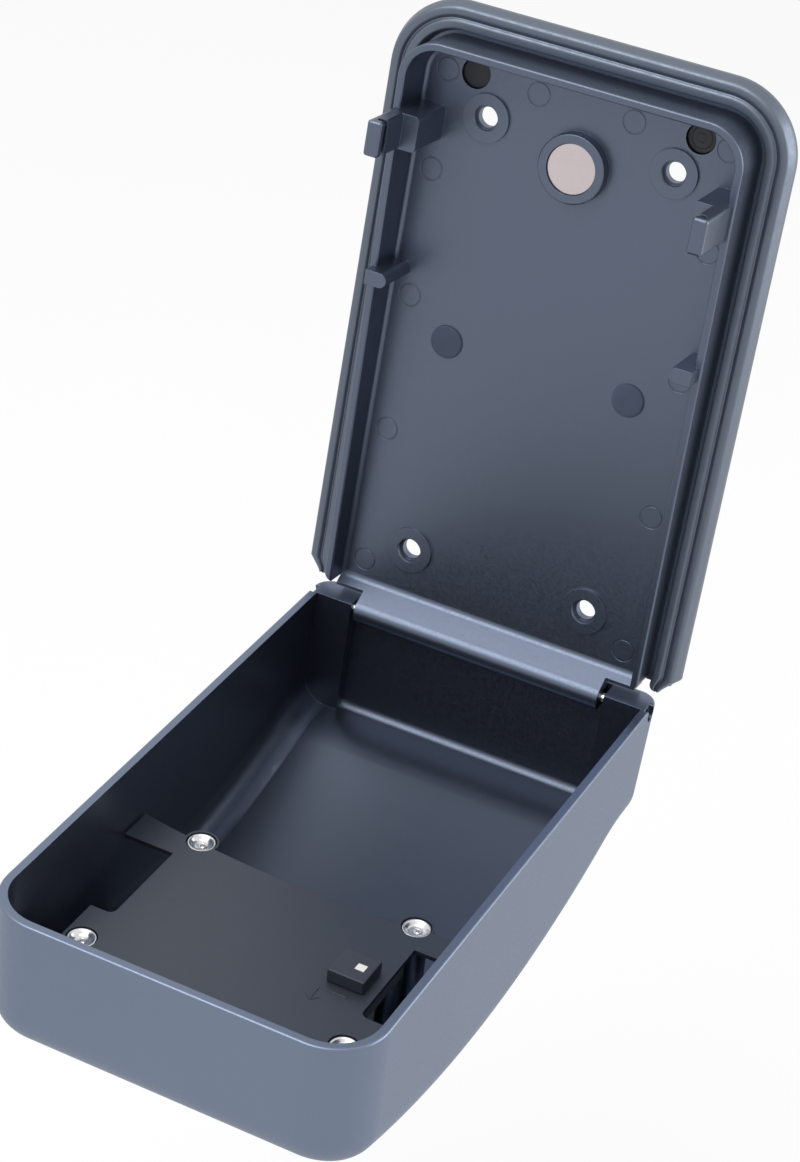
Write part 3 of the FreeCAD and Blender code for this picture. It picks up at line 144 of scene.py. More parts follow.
class Graph:
    """A small helper that builds a material's nodes and joins them."""

    def __init__(self, name: str) -> None:
        """Start an empty material with a Principled shader.

        Args:
            name: the material's name.
        """
        self.material = bpy.data.materials.new(name)
        self.material.use_nodes = True
        self.tree = self.material.node_tree
        self.shader = self.tree.nodes["Principled BSDF"]
        texture = self.tree.nodes.new("ShaderNodeTexCoord")
        self.coords = texture.outputs["Object"]
        self.facing = texture.outputs["Normal"]

    def node(self, kind: str, **values: object) -> bpy.types.Node:
        """Add a node and set its properties.

        Args:
            kind: the node's type.
            **values: the properties to set.

        Returns:
            The new node.
        """
        made = self.tree.nodes.new(kind)
        for key, value in values.items():
            setattr(made, key, value)
        return made

    def link(self, start: bpy.types.NodeSocket, end: bpy.types.NodeSocket) -> None:
        """Join two sockets."""
        self.tree.links.new(start, end)

    def noise(self, size: float, detail: float = 2.0, rough: float = 0.5) -> bpy.types.NodeSocket:
        """A noise pattern with features of a size.

        Args:
            size: rough width of a feature, in mm.
            detail: number of finer layers.
            rough: how strong the finer layers are.

        Returns:
            The pattern's value socket.
        """
        made = self.node("ShaderNodeTexNoise")
        made.inputs["Scale"].default_value = 1.0 / (size * MM)
        made.inputs["Detail"].default_value = detail
        made.inputs["Roughness"].default_value = rough
        self.link(self.coords, made.inputs["Vector"])
        return made.outputs["Fac"]

    def spread(self, value: bpy.types.NodeSocket, low: float, high: float,
               start: float = 0.3, end: float = 0.7) -> bpy.types.NodeSocket:
        """Map a pattern to a range of values.

        Args:
            value: the pattern.
            low: the result where the pattern is at start.
            high: the result where the pattern is at end.
            start: lower end of the pattern's range.
            end: upper end of the pattern's range.

        Returns:
            The mapped socket.
        """
        made = self.node("ShaderNodeMapRange")
        self.link(value, made.inputs["Value"])
        for name, number in (("From Min", start), ("From Max", end), ("To Min", low), ("To Max", high)):
            made.inputs[name].default_value = number
        return made.outputs["Result"]

    def blend(self, factor: bpy.types.NodeSocket, first: Colour, second: Colour) -> bpy.types.NodeSocket:
        """Mix two colours by a pattern.

        Args:
            factor: the pattern.
            first: the colour where the pattern is zero.
            second: the colour where the pattern is one.

        Returns:
            The mixed colour's socket.
        """
        made = self.node("ShaderNodeMix", data_type="RGBA")
        self.link(factor, made.inputs["Factor"])
        made.inputs["A"].default_value = (*first, 1.0)
        made.inputs["B"].default_value = (*second, 1.0)
        return made.outputs["Result"]

    def blend_sockets(self, factor: bpy.types.NodeSocket, first: bpy.types.NodeSocket,
                      second: bpy.types.NodeSocket) -> bpy.types.NodeSocket:
        """Mix two colour sockets by a pattern.

        Args:
            factor: the pattern.
            first: the colour where the pattern is zero.
            second: the colour where the pattern is one.

        Returns:
            The mixed colour's socket.
        """
        made = self.node("ShaderNodeMix", data_type="RGBA")
        self.link(factor, made.inputs["Factor"])
        self.link(first, made.inputs["A"])
        self.link(second, made.inputs["B"])
        return made.outputs["Result"]

    def relief(self, height: bpy.types.NodeSocket, depth: float, edge: float = 0.0) -> None:
        """Give the surface a fine relief and softened edges.

        Args:
            height: the pattern that raises the surface.
            depth: its height, in mm.
            edge: radius over which sharp edges are rounded in shading, in mm.
        """
        bump = self.node("ShaderNodeBump")
        bump.inputs["Distance"].default_value = depth * MM
        self.link(height, bump.inputs["Height"])
        if edge > 0.0:
            bevel = self.node("ShaderNodeBevel", samples=4)
            bevel.inputs["Radius"].default_value = edge * MM
            self.link(bevel.outputs["Normal"], bump.inputs["Normal"])
        self.link(bump.outputs["Normal"], self.shader.inputs["Normal"])

    def fix(self, **values: float | Colour) -> None:
        """Set numbers and colours on the shader's own sockets.

        Args:
            **values: a value for each socket, whose name has underscores for its spaces.
        """
        for key, value in values.items():
            if isinstance(value, tuple):
                value = (*value, 1.0)
            self.shader.inputs[key.replace("_", " ")].default_value = value

    def outward_side(self, centre: Vector) -> bpy.types.NodeSocket:
        """A value above zero where the surface faces away from a point.

        Args:
            centre: the point, in metres.

        Returns:
            The socket with the value.
        """
        away = self.node("ShaderNodeVectorMath", operation="SUBTRACT")
        self.link(self.coords, away.inputs[0])
        away.inputs[1].default_value = centre
        dot = self.node("ShaderNodeVectorMath", operation="DOT_PRODUCT")
        self.link(away.outputs["Vector"], dot.inputs[0])
        self.link(self.facing, dot.inputs[1])
        return dot.outputs["Value"]


@dataclass(frozen=True)
class Coat:
    """Satin powder coat on die cast metal, with a fine grain; a shell's inner faces can get painted shade,
    a darker colour and weaker gloss.
    """

    name: str
    colour: Colour
    roughness: float = 0.4
    grain: float = 0.45
    grain_height: float = 0.012
    edge: float = 0.2
    gloss_tint: Colour = (0.62, 0.74, 1.0)
    index: float = 1.85
    # Painted shade: the darker colour and weaker gloss go on faces turned towards the inner_from point,
    # standing in for the shade inside the shell's walls.
    painted_shade_colour: Colour | None = None
    inner_from: Pair = (0.0, 40.0)
    painted_shade_gloss: float = 0.5
    side_margin: float = 0.002
    cloud: float = 38.0

    def make(self) -> bpy.types.Material:
        """Build the material.

        Returns:
            The material.
        """
        g = Graph(self.name)
        cloud = g.spread(g.noise(self.cloud, 3.0), 0.0, 1.0)
        fleck = g.noise(self.grain * 1.6, 2.0, 0.6)
        base = g.blend(cloud, scaled(self.colour, 0.93), scaled(self.colour, 1.07))
        # Painted shade: faces turned towards the shell's middle take a darker base colour and a lower
        # specular level, where the walls keep the light out.
        if self.painted_shade_colour is not None:
            dark = g.blend(cloud, scaled(self.painted_shade_colour, 0.9), scaled(self.painted_shade_colour, 1.1))
            middle = LAYOUT.swing() @ LAYOUT.place(0.0, self.inner_from[0], self.inner_from[1])
            outside = g.spread(g.outward_side(middle), 0.0, 1.0, -self.side_margin, self.side_margin)
            base = g.blend_sockets(outside, dark, base)
            gloss = g.spread(outside, self.painted_shade_gloss, 1.0, 0.0, 1.0)
            g.link(gloss, g.shader.inputs["Specular IOR Level"])
        g.link(base, g.shader.inputs["Base Color"])
        g.link(g.spread(fleck, self.roughness - 0.05, self.roughness + 0.06), g.shader.inputs["Roughness"])
        g.relief(g.noise(self.grain, 3.0, 0.6), self.grain_height, self.edge)
        g.fix(Specular_IOR_Level=1.0, Specular_Tint=self.gloss_tint, IOR=self.index)
        return g.material


@dataclass(frozen=True)
class Rubber:
    """Moulded rubber, dull, with a slight bloom."""

    name: str
    colour: Colour
    roughness: float = 0.62
    grain: float = 0.3
    grain_height: float = 0.015
    gloss: float = 0.45
    index: float = 1.5
    bloom: float = 14.0
    patch: float = 2.5

    def make(self) -> bpy.types.Material:
        """Build the material.

        Returns:
            The material.
        """
        g = Graph(self.name)
        bloom = g.spread(g.noise(self.bloom, 4.0, 0.6), 0.0, 1.0)
        base = g.blend(bloom, scaled(self.colour, 0.9), scaled(self.colour, 1.15))
        g.link(base, g.shader.inputs["Base Color"])
        dull = g.spread(g.noise(self.patch, 3.0), self.roughness - 0.06, self.roughness + 0.08)
        g.link(dull, g.shader.inputs["Roughness"])
        g.relief(g.noise(self.grain, 3.0, 0.7), self.grain_height)
        g.fix(Specular_IOR_Level=self.gloss, IOR=self.index, Specular_Tint=(0.68, 0.8, 1.0),
              Sheen_Weight=0.08, Sheen_Roughness=0.5)
        return g.material


@dataclass(frozen=True)
class Plating:
    """Bare or plated metal, with fine turning marks and smudges."""

    name: str
    colour: Colour
    roughness: float = 0.18
    scratch: float = 0.15
    scratch_height: float = 0.004
    smudge: float = 6.0

    def make(self) -> bpy.types.Material:
        """Build the material.

        Returns:
            The material.
        """
        g = Graph(self.name)
        smudge = g.noise(self.smudge, 4.0, 0.6)
        base = g.blend(g.spread(smudge, 0.0, 1.0), scaled(self.colour, 0.92), self.colour)
        g.link(base, g.shader.inputs["Base Color"])
        g.link(g.spread(smudge, self.roughness * 0.8, self.roughness * 1.3), g.shader.inputs["Roughness"])
        g.relief(g.noise(self.scratch, 2.0), self.scratch_height, 0.1)
        g.fix(Metallic=1.0)
        return g.material


@dataclass(frozen=True)
class Moulded:
    """Moulded plastic with a fine spark-eroded texture."""

    name: str
    colour: Colour
    roughness: float = 0.45
    texture: float = 0.25
    texture_height: float = 0.008
    cloud: float = 9.0

    def make(self) -> bpy.types.Material:
        """Build the material.

        Returns:
            The material.
        """
        g = Graph(self.name)
        cloud = g.noise(self.cloud, 3.0)
        base = g.blend(g.spread(cloud, 0.0, 1.0), scaled(self.colour, 0.94), scaled(self.colour, 1.06))
        g.link(base, g.shader.inputs["Base Color"])
        g.link(g.spread(cloud, self.roughness - 0.04, self.roughness + 0.05), g.shader.inputs["Roughness"])
        g.relief(g.noise(self.texture, 3.0, 0.6), self.texture_height, 0.15)
        return g.material


def scaled(colour: Colour, factor: float) -> Colour:
    """A colour made lighter or darker."""
    return tuple(min(1.0, part * factor) for part in colour)


class Finishes:
    """Every finish of the key box, built once."""

    def __init__(self) -> None:
        """Build the materials."""
        self.plate = Coat("plate_coat", (0.011, 0.0135, 0.02), roughness=0.36).make()
        # The shell's inner faces get painted shade: a near-black colour and weaker gloss.
        self.shell = Coat("shell_coat", (0.021, 0.027, 0.042), roughness=0.34, index=2.1,
                          painted_shade_colour=(0.006, 0.007, 0.011), inner_from=(26.0, 84.0)).make()
        self.cover = Coat("cover_coat", (0.016, 0.019, 0.028), roughness=0.42, grain=0.4, grain_height=0.01,
                          edge=0.12, gloss_tint=(0.72, 0.82, 1.0), index=1.48).make()
        self.seal = Rubber("seal_rubber", (0.014, 0.017, 0.025), roughness=0.4, gloss=1.0,
                           index=1.85).make()
        self.bumper = Rubber("bumper_rubber", (0.05, 0.063, 0.098), roughness=0.75, grain=0.5,
                             grain_height=0.09).make()
        self.plug = Moulded("plug_plastic", (0.012, 0.014, 0.02)).make()
        self.slide = Moulded("slide_plastic", (0.026, 0.032, 0.05), roughness=0.5).make()
        self.mark = Moulded("mark_white", (0.82, 0.81, 0.78), roughness=0.35).make()
        self.fascia = Moulded("fascia_plastic", (0.012, 0.012, 0.014), roughness=0.5, texture=0.5,
                              texture_height=0.02).make()
        self.nickel = Plating("magnet_nickel", (0.6, 0.53, 0.545), roughness=0.27).make()
        self.screw = Plating("screw_plate", (0.72, 0.72, 0.73), roughness=0.2).make()
        self.steel = Plating("pin_steel", (0.6, 0.6, 0.61), roughness=0.25).make()
        self.button = Plating("button_metal", (0.5, 0.51, 0.53), roughness=0.34, scratch=0.3,
                              scratch_height=0.008).make()
        self.zinc = Plating("lock_zinc", (0.42, 0.43, 0.45), roughness=0.45, scratch=0.8,
                            scratch_height=0.02).make()
        self.knob = Coat("knob_coat", (0.014, 0.015, 0.017), roughness=0.35).make()
        self.digits = Moulded("digit_paint", (0.02, 0.02, 0.022), roughness=0.5).make()


def mesh_object(name: str, points: Sequence[Vector], faces: Sequence[Sequence[int]],
                material: bpy.types.Material, smooth_angle: float = 35.0) -> bpy.types.Object:
    """Make a mesh object with smooth shading up to an angle.

    Args:
        name: the piece's name.
        points: vertices in metres.
        faces: vertex numbers of each face.
        material: the finish.
        smooth_angle: edges sharper than this many degrees stay crisp.

    Returns:
        The new object, linked to the scene.
    """
    data = bpy.data.meshes.new(name)
    data.from_pydata([tuple(p) for p in points], [], [tuple(f) for f in faces])
    made = bmesh.new()
    made.from_mesh(data)
    bmesh.ops.remove_doubles(made, verts=made.verts, dist=MERGE_DISTANCE)
    bmesh.ops.recalc_face_normals(made, faces=made.faces)
    made.to_mesh(data)
    made.free()
    data.materials.append(material)
    data.shade_smooth()
    data.set_sharp_from_angle(angle=math.radians(smooth_angle))
    thing = bpy.data.objects.new(name, data)
    bpy.context.scene.collection.objects.link(thing)
    return thing


def turned(name: str, profile: Sequence[Pair], spot: tuple[float, float], facing: Facing,
           material: bpy.types.Material, steps: int = 64) -> bpy.types.Object:
    """Turn a profile round an axis that stands out from the wall.

    Args:
        name: the piece's name.
        profile: (radius, out) pairs in mm, from the axis at the back to the axis at the front.
        spot: side and height of the axis, in mm.
        facing: whether the place is on the plate or on the shut shell.
        material: the finish.
        steps: number of faces round.

    Returns:
        The turned piece.
    """
    points: list[Vector] = []
    for k in range(steps):
        angle = 2.0 * math.pi * k / steps
        across, along = math.cos(angle), math.sin(angle)
        for radius, out in profile:
            points.append(LAYOUT.place(spot[0] + radius * across, out, spot[1] + radius * along))
    rows = len(profile)
    faces = [(k * rows + j, k * rows + j + 1, (k + 1) % steps * rows + j + 1, (k + 1) % steps * rows + j)
             for k in range(steps) for j in range(rows - 1)]
    if facing is Facing.SHUT_SHELL:
        swing = LAYOUT.swing()
        points = [swing @ p for p in points]
    return mesh_object(name, points, faces, material)


def rounded_profile(corners: Sequence[tuple[float, float, float]], steps: int = 5) -> list[Pair]:
    """Round the corners of a path.

    Args:
        corners: (a, b, radius) for each corner; the ends have radius 0.
        steps: segments per rounded corner.

    Returns:
        The path's points.
    """
    path: list[Pair] = []
    for i, (a, b, radius) in enumerate(corners):
        if radius <= 0.0 or i in (0, len(corners) - 1):
            path.append((a, b))
            continue
        here = Vector((a, b))
        before = (Vector(corners[i - 1][:2]) - here)
        after = (Vector(corners[i + 1][:2]) - here)
        reach = min(radius, before.length * 0.49, after.length * 0.49)
        start, end = here + before.normalized() * reach, here + after.normalized() * reach
        for k in range(steps + 1):
            t = k / steps
            spot = start * (1 - t) ** 2 + here * 2 * t * (1 - t) + end * t ** 2
            path.append((spot.x, spot.y))
    return path


def dress(names: Sequence[str], material: bpy.types.Material) -> None:
    """Give CAD nodes a finish, keeping their shape.

    Args:
        names: the nodes.
        material: their finish.
    """
    for name in names:
        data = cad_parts[name].data
        data.materials.clear()
        data.materials.append(material)


@dataclass
class WallPlate:
    """The plate on the wall, with its magnet, bumpers and corner plugs."""

    finishes: Finishes
    floor_out: float = 3.4
    magnet_up: float = 141.3
    magnet_radius: float = 6.9
    magnet_out: float = 6.3
    magnet_thickness: float = 2.2
    magnet_edge: float = 0.35
    bumper_x: float = 26.8
    bumper_up: float = 83.9
    bumper_radius: float = 4.6
    bumper_height: float = 0.7
    bumper_sink: float = 1.5
    bumper_bevel: Pair = (0.5, 0.25)
    plug_x: float = 31.8
    plug_up: float = 157.9
    plug_radius: float = 4.1
    plug_recess: float = 0.9
    outer_ring: tuple[float, float, float] = (3.1, 2.7, 0.15)
    inner_ring: tuple[float, float, float] = (1.6, 1.0, 0.12)

    def magnet(self) -> bpy.types.Object:
        """The plated disc with a small chamfer.

        Returns:
            The disc.
        """
        r, top = self.magnet_radius, self.magnet_out
        back = top - self.magnet_thickness
        path = rounded_profile([(0.0, back, 0.0), (r, back, 0.2), (r, top, self.magnet_edge),
                                (0.0, top, 0.0)])
        disc = turned("magnet_disc", path, (0.0, self.magnet_up), Facing.PLATE, self.finishes.nickel)
        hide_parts("key_magnet")
        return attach(disc, Body.WALL.value)

    def bumper(self, side: int) -> bpy.types.Object:
        """One rubber pad with a rounded edge.

        Args:
            side: -1 for the left pad, 1 for the right one.

        Returns:
            The pad.
        """
        r, top = self.bumper_radius, self.floor_out + self.bumper_height
        back = self.floor_out - self.bumper_sink
        inward, down = self.bumper_bevel
        path = rounded_profile([(0.0, back, 0.0), (r, back, 0.2), (r, top - down, 0.3),
                                (r - inward, top, 0.4), (0.0, top, 0.0)])
        pad = turned("bumper_left" if side < 0 else "bumper_right", path,
                     (side * self.bumper_x, self.bumper_up), Facing.PLATE, self.finishes.bumper)
        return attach(pad, Body.WALL.value)

    def plug(self, side: int) -> bpy.types.Object:
        """One plug; the right one has faint rings on its face.

        Args:
            side: -1 for the left plug, 1 for the right one.

        Returns:
            The plug.
        """
        r, top = self.plug_radius, self.floor_out - self.plug_recess
        corners = [(0.0, 0.0, 0.0), (r, 0.0, 0.0), (r, top, 0.3)]
        if side > 0:
            for wide, narrow, depth in (self.outer_ring, self.inner_ring):
                corners += [(wide, top, 0.1), ((wide + narrow) / 2, top - depth, 0.1), (narrow, top, 0.1)]
        path = rounded_profile(corners + [(0.0, top, 0.0)], 3)
        made = turned("plug_left" if side < 0 else "plug_right", path,
                      (side * self.plug_x, self.plug_up), Facing.PLATE, self.finishes.plug)
        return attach(made, Body.WALL.value)

    def build(self) -> None:
        """Dress the casting and add the separate pieces."""
        dress(["back_plate"], self.finishes.plate)
        self.magnet()
        pads = [self.bumper(side) for side in (-1, 1)]
        plugs = [self.plug(side) for side in (-1, 1)]
        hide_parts("rubber_bumpers")
        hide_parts("corner_plugs")
        LOG.info("wall plate dressed, magnet, bumpers and plugs added")


@dataclass
class WeatherSeal:
    """The rubber frame on three sides of the plate."""

    finishes: Finishes
    rim_half_width: float = 48.2
    rim_top_up: float = 166.6
    rim_corner: float = 11.0
    foot_up: float = 5.9
    foot_taper: float = 4.2
    inner_round: float = 1.8
    inner_margin: float = 0.9
    valley_margin: float = 4.6
    border_margin: float = 6.85
    skirt_margin: float = 8.8
    valley_reach: Pair = (0.7, 0.8)
    inner_flank: float = 0.8
    skirt_slope: float = 1.3
    back_out: float = 1.8
    valley_out: float = 4.1
    crest_out: float = 4.9
    skirt_lip_out: float = 1.6
    foot_steps: tuple[float, ...] = (0.0, 0.1, 0.3, 0.6, 1.0, 1.4, 1.8, 2.6, 3.4, 4.2, 6.0, 40.0, 90.0)
    corner_steps: int = 24

    def section(self) -> list[Pair]:
        """The frame's rounded section.

        Returns:
            Its points as distance beyond the rim and distance from the wall, in mm.
        """
        inner, valley, skirt = self.inner_margin, self.valley_margin, self.skirt_margin
        crest, back = self.crest_out, self.back_out
        corners = [(inner, back, 0.0), (inner + self.inner_flank, crest, 0.5),
                   (valley - self.valley_reach[0], crest, 0.5), (valley, self.valley_out, 0.4),
                   (valley + self.valley_reach[1], crest, 0.5), (skirt - self.skirt_slope, crest, 0.9),
                   (skirt, self.skirt_lip_out, 0.5), (skirt, 0.0, 0.15),
                   (self.border_margin, 0.0, 0.0), (self.border_margin, back, 0.0), (inner, back, 0.0)]
        return rounded_profile(corners, 4)[:-1]

    def squeezed(self, section: Sequence[Pair], height: float) -> list[Pair]:
        """Narrow the section near the rounded foot of a leg.

        Args:
            section: the full section.
            height: height above the foot's end, in mm.

        Returns:
            The section at that height.
        """
        inner, outer = section[0][0], max(m for m, _ in section)
        low = inner
        if height < self.inner_round:
            gap = self.inner_round - height
            low = inner + self.inner_round - math.sqrt(max(0.0, self.inner_round ** 2 - gap ** 2))
        high = outer - max(0.0, self.foot_taper - height)
        scale = (high - low) / (outer - inner)
        return [(low + (m - inner) * scale, out) for m, out in section]

    def stations(self) -> list[tuple[float, Callable[[float], Pair]]]:
        """Places along the frame.

        Returns:
            For each place its height above the foot, and a function from margin to (x, up).
        """
        half, turn, top = self.rim_half_width, self.rim_corner, self.rim_top_up
        straight = top - turn
        result: list[tuple[float, Callable[[float], Pair]]] = []
        for h in (*self.foot_steps, straight - self.foot_up):
            result.append((h, lambda m, up=self.foot_up + h: (half + m, up)))
        for k in range(1, self.corner_steps + 1):
            a = math.pi / 2 * k / self.corner_steps
            result.append((math.inf, lambda m, a=a: (half - turn + (turn + m) * math.cos(a),
                                                     straight + (turn + m) * math.sin(a))))
        mirror = [(h, lambda m, f=f: (-f(m)[0], f(m)[1])) for h, f in result]
        return result + mirror[::-1]

    def build(self) -> None:
        """Sweep the section along the frame and close its two feet."""
        section = self.section()
        points: list[Vector] = []
        for height, spot in self.stations():
            for margin, out in self.squeezed(section, height):
                x, up = spot(margin)
                points.append(LAYOUT.place(x, out, up))
        n, rows = len(section), len(points) // len(section)
        faces: list[Sequence[int]] = [
            (r * n + k, r * n + (k + 1) % n, (r + 1) * n + (k + 1) % n, (r + 1) * n + k)
            for r in range(rows - 1) for k in range(n)]
        faces += [list(range(n)), list(range((rows - 1) * n, rows * n))[::-1]]
        seal = mesh_object("seal_frame", points, faces, self.finishes.seal, 40.0)
        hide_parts("weather_seal")
        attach(seal, Body.WALL.value)
        LOG.info("weather seal built")


@dataclass
class FrontShell:
    """The swinging shell with its pin and the lock's cover plate."""

    finishes: Finishes
    cover_deep: float = 19.7
    screw_spots: tuple[Pair, ...] = ((31.4, 96.9), (36.8, 146.8))
    seat_depth: float = 1.9
    head_radius: float = 3.8
    head_height: float = 1.6
    head_land: float = 0.6
    dish: Pair = (2.1, 1.0)
    socket_rim: Pair = (1.0, 1.15)
    socket_floor: Pair = (0.9, 2.2)
    shank_radius: float = 1.4
    shank_length: float = 7.9
    arrow_strokes: tuple[tuple[Pair, ...], ...] = (
        ((29.3, 131.0), (21.6, 131.0), (21.7, 136.4)), ((19.9, 134.8), (21.7, 136.4), (23.4, 134.6)))
    arrow_half_width: float = 0.26
    arrow_relief: float = 0.18
    arrow_top: float = 0.6

    def screw(self, x: float, up: float, number: int) -> bpy.types.Object:
        """One dished screw with a socket, sunk in its seat.

        Args:
            x: side, in mm.
            up: height with the box shut, in mm.
            number: place in the row of screws.

        Returns:
            The screw.
        """
        seat = LAYOUT.shell_edge_out + self.cover_deep + self.seat_depth
        tip, shank = seat + self.shank_length, self.shank_radius
        r, top = self.head_radius, seat - self.head_height
        dish, rim, floor = [(radius, top + depth) for radius, depth in
                            (self.dish, self.socket_rim, self.socket_floor)]
        path = rounded_profile([(0.0, tip, 0.0), (shank, tip, 0.2), (shank, seat, 0.0), (r, seat, 0.1),
                                (r, top, 0.3), (r - self.head_land, top, 0.3), (*dish, 0.5), (*rim, 0.1),
                                (*floor, 0.1), (0.0, floor[1], 0.0)])
        screw = turned(f"cover_screw_{number}", path, (x, up), Facing.SHUT_SHELL, self.finishes.screw)
        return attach(screw, Body.SHELL.value)

    def arrow(self) -> bpy.types.Object:
        """The raised arrow beside the slide, which shows the way to push it.

        Returns:
            The arrow.
        """
        face = LAYOUT.shell_edge_out + self.cover_deep
        swing = LAYOUT.swing()
        profile = ((-1.0, 0.0), (-self.arrow_top, 1.0), (self.arrow_top, 1.0), (1.0, 0.0))
        points: list[Vector] = []
        faces: list[Sequence[int]] = []
        for stroke in self.arrow_strokes:
            spots = [Vector(spot) for spot in stroke]
            start = len(points)
            for i, spot in enumerate(spots):
                before = (spot - spots[i - 1]).normalized() if i else (spots[1] - spot).normalized()
                after = (spots[i + 1] - spot).normalized() if i + 1 < len(spots) else before
                along = (before + after).normalized()
                reach = self.arrow_half_width / max(0.5, along.dot(before))
                for side, rise in profile:
                    x, up = spot + Vector((-along.y, along.x)) * side * reach
                    points.append(swing @ LAYOUT.place(x, face - rise * self.arrow_relief, up))
            n = len(profile)
            for row in range(start, start + (len(spots) - 1) * n, n):
                faces += [(row + k, row + k + 1, row + n + k + 1, row + n + k) for k in range(n - 1)]
            faces += [tuple(start + k for k in range(n)), tuple(len(points) - 1 - k for k in range(n))]
        arrow = mesh_object("slide_arrow", points, faces, self.finishes.cover)
        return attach(arrow, Body.SHELL.value)

    def build(self) -> None:
        """Dress the castings and add the screws."""
        dress(["front_shell"], self.finishes.shell)
        dress(["lock_cover_plate"], self.finishes.cover)
        dress(["hinge_pin"], self.finishes.steel)
        dress(["code_change_slide"], self.finishes.slide)
        dress(["slide_mark"], self.finishes.mark)
        screws = [self.screw(side * x, up, 2 * row + (side > 0) + 1)
                  for row, (x, up) in enumerate(self.screw_spots) for side in (-1, 1)]
        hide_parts("cover_screws")
        self.arrow()
        LOG.info("front shell dressed, %d cover screws and the arrow added", len(screws))


@dataclass
class Keypad:
    """The keypad on the hidden front face, and the lock behind it."""

    finishes: Finishes
    column_x: float = 18.0
    first_up: float = 108.5
    pitch: float = 12.0
    rows: int = 5
    button_proud: float = 2.2
    clear_up: float = 112.0
    digit_size: float = 5.6
    digit_relief: float = 0.12

    def letter(self, text: str, name: str, x: float, up: float, body: str) -> bpy.types.Object:
        """A raised character on a button.

        Args:
            text: the character.
            name: the piece's name.
            x: side, in mm.
            up: height with the box shut, in mm.
            body: the CAD body that the button is.

        Returns:
            The character.
        """
        curve = bpy.data.curves.new(name, "FONT")
        curve.body = text
        curve.size = self.digit_size * MM
        curve.align_x = "CENTER"
        curve.align_y = "CENTER"
        curve.extrude = self.digit_relief * MM
        mark = bpy.data.objects.new(name, curve)
        bpy.context.scene.collection.objects.link(mark)
        out = LAYOUT.crown_out(up, self.button_proud) - self.digit_relief / 2
        tilt = Matrix.Rotation(math.pi / 2 - LAYOUT.crown_tilt(up), 4, "X")
        mark.matrix_world = LAYOUT.swing() @ Matrix.Translation(LAYOUT.place(x, out, up)) @ tilt
        bpy.context.view_layer.update()
        data = bpy.data.meshes.new_from_object(mark.evaluated_get(bpy.context.evaluated_depsgraph_get()))
        data.transform(mark.matrix_world)
        bpy.data.objects.remove(mark)
        solid = bpy.data.objects.new(name, data)
        bpy.context.scene.collection.objects.link(solid)
        data.materials.clear()
        data.materials.append(self.finishes.digits)
        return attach(solid, body)

    def build(self) -> None:
        """Dress the keypad and mark its buttons."""
        digits = [str((place + 1) % 10) for place in range(2 * self.rows)]
        dress([f"button_{digit}" for digit in digits] + ["clear_button"], self.finishes.button)
        dress(["keypad_fascia"], self.finishes.fascia)
        dress(["turn_knob"], self.finishes.knob)
        dress(["lock_body"], self.finishes.zinc)
        dress(["lock_screws", "latch_bolt_right", "latch_bolt_left", "latch_cam", "knob_spindle",
               "spindle_clip", "button_springs"], self.finishes.steel)
        for place, digit in enumerate(digits):
            column, row = divmod(place, self.rows)
            up = self.first_up + (self.rows - 1 - row) * self.pitch
            self.letter(digit, f"digit_mark_{digit}", (-1, 1)[column] * self.column_x, up, f"digit_{digit}")
        self.letter("C", "clear_mark", 0.0, self.clear_up, Body.CLEAR.value)
        LOG.info("keypad dressed, %d digits added", len(digits))


def white_rays(tree: bpy.types.NodeTree) -> bpy.types.NodeSocket:
    """A value of one for the rays that should see a white background.

    Args:
        tree: the node tree to build in.

    Returns:
        The socket, one for camera, glossy and transmission rays.
    """
    rays = tree.nodes.new("ShaderNodeLightPath")
    value = rays.outputs["Is Camera Ray"]
    for name in ("Is Glossy Ray", "Is Transmission Ray"):
        either = tree.nodes.new("ShaderNodeMath")
        either.operation = "MAXIMUM"
        tree.links.new(value, either.inputs[0])
        tree.links.new(rays.outputs[name], either.inputs[1])
        value = either.outputs["Value"]
    return value


@dataclass(frozen=True)
class Lamp:
    """A square soft light: where it stands and points, and its width, in metres, and its power in watts."""

    name: str
    spot: tuple[float, float, float]
    target: tuple[float, float, float]
    size: float
    watts: float

    def build(self) -> None:
        """Add the light to the scene."""
        data = bpy.data.lights.new(self.name, "AREA")
        data.size = self.size
        data.energy = self.watts
        lamp = bpy.data.objects.new(self.name, data)
        bpy.context.scene.collection.objects.link(lamp)
        lamp.location = self.spot
        lamp.rotation_euler = (Vector(self.target) - Vector(self.spot)).to_track_quat("-Z", "Y").to_euler()


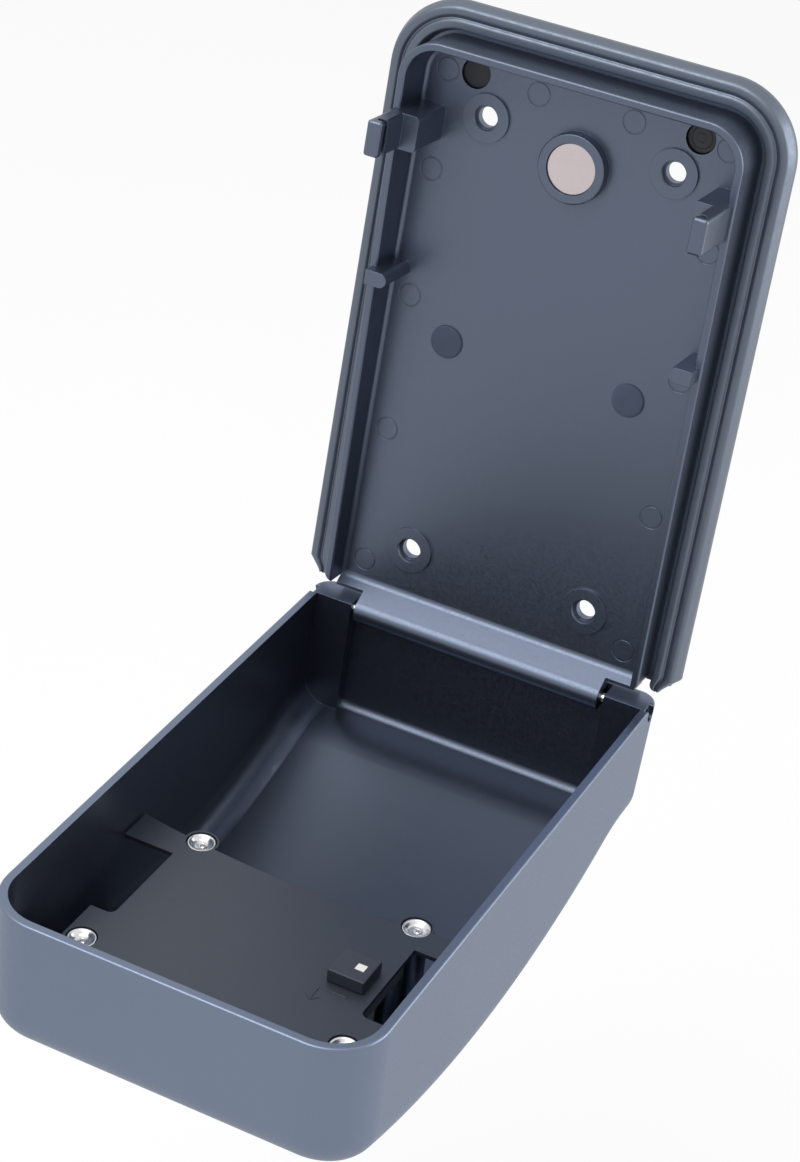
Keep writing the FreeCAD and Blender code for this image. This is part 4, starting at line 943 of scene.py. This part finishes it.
@dataclass
class Studio:
    """White sweep, soft lights and the camera of the photograph."""

    floor_drop: float = 0.12
    floor_reach: float = 6.0
    floor_white: float = 0.82
    sky: float = 0.6
    lamps: tuple[Lamp, ...] = (
        Lamp("key_light", (-0.6, -1.3, 1.3), (0.0, -0.05, 0.0), 1.2, 12.0),
        Lamp("overhead_light", (-0.35, -0.6, 1.35), (0.0, -0.08, -0.1), 1.4, 9.0),
        Lamp("right_light", (1.3, 0.5, 0.3), (0.0, -0.05, 0.0), 1.2, 13.0))
    camera_spot: tuple[float, float, float] = (0.25505, -0.71574, 0.28703)
    camera_lens: float = 93.49
    camera_shift_x: float = -0.0093
    camera_axes: tuple[tuple[float, float, float], ...] = (
        (0.889018, -0.316208, 0.331148), (0.429471, 0.325124, -0.842525), (0.158749, 0.891239, 0.424843))

    def floor(self) -> None:
        """A wide pale floor under the box."""
        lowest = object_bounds()[0][2] - self.floor_drop
        reach = self.floor_reach
        points = [Vector((x, y, lowest)) for x, y in ((-reach, -reach), (reach, -reach), (reach, reach),
                                                      (-reach, reach))]
        g = Graph("floor_paper")
        g.link(g.blend(g.spread(g.noise(300.0, 2.0), 0.0, 1.0), (0.9, 0.9, 0.9), (0.92, 0.92, 0.92)),
               g.shader.inputs["Base Color"])
        g.fix(Roughness=0.9, Specular_IOR_Level=0.1)
        glow = g.node("ShaderNodeEmission")
        glow.inputs["Strength"].default_value = 1.0
        mix = g.node("ShaderNodeMixShader")
        share = g.node("ShaderNodeMath", operation="MULTIPLY")
        g.link(white_rays(g.tree), share.inputs[0])
        share.inputs[1].default_value = self.floor_white
        g.link(share.outputs["Value"], mix.inputs["Fac"])
        g.link(g.shader.outputs["BSDF"], mix.inputs[1])
        g.link(glow.outputs["Emission"], mix.inputs[2])
        g.link(mix.outputs["Shader"], g.tree.nodes["Material Output"].inputs["Surface"])
        mesh_object("floor", points, [(0, 1, 2, 3)], g.material)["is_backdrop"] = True

    def world(self) -> None:
        """Even pale light from all round, white to the camera."""
        world = bpy.data.worlds.new("studio")
        bpy.context.scene.world = world
        world.use_nodes = True
        tree = world.node_tree
        back = tree.nodes["Background"]
        back.inputs["Color"].default_value = (1.0, 1.0, 1.0, 1.0)
        level = tree.nodes.new("ShaderNodeMapRange")
        level.inputs["To Min"].default_value = self.sky
        level.inputs["To Max"].default_value = 1.0
        tree.links.new(white_rays(tree), level.inputs["Value"])
        tree.links.new(level.outputs["Result"], back.inputs["Strength"])

    def camera(self) -> None:
        """The camera, solved from the photograph."""
        data = bpy.data.cameras.new("photo_camera")
        data.lens = self.camera_lens
        data.sensor_width = 36.0
        data.sensor_fit = "AUTO"
        data.shift_x = self.camera_shift_x
        data.clip_end = 50.0
        camera = bpy.data.objects.new("photo_camera", data)
        bpy.context.scene.collection.objects.link(camera)
        turn = Matrix([list(row) for row in self.camera_axes]).to_4x4()
        camera.matrix_world = Matrix.Translation(Vector(self.camera_spot)) @ turn
        bpy.context.scene.camera = camera

    def build(self) -> None:
        """Set up the light, the floor and the camera."""
        self.floor()
        self.world()
        for lamp in self.lamps:
            lamp.build()
        self.camera()
        view = bpy.context.scene.view_settings
        view.view_transform = "Standard"
        LOG.info("studio ready")


def main() -> None:
    """Build the key box's looks piece by piece."""
    logging.basicConfig(level=logging.INFO, format="%(name)s: %(message)s")
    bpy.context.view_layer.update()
    finishes = Finishes()
    WallPlate(finishes).build()
    WeatherSeal(finishes).build()
    FrontShell(finishes).build()
    Keypad(finishes).build()
    Studio().build()


if __name__ == "__main__":
    main()
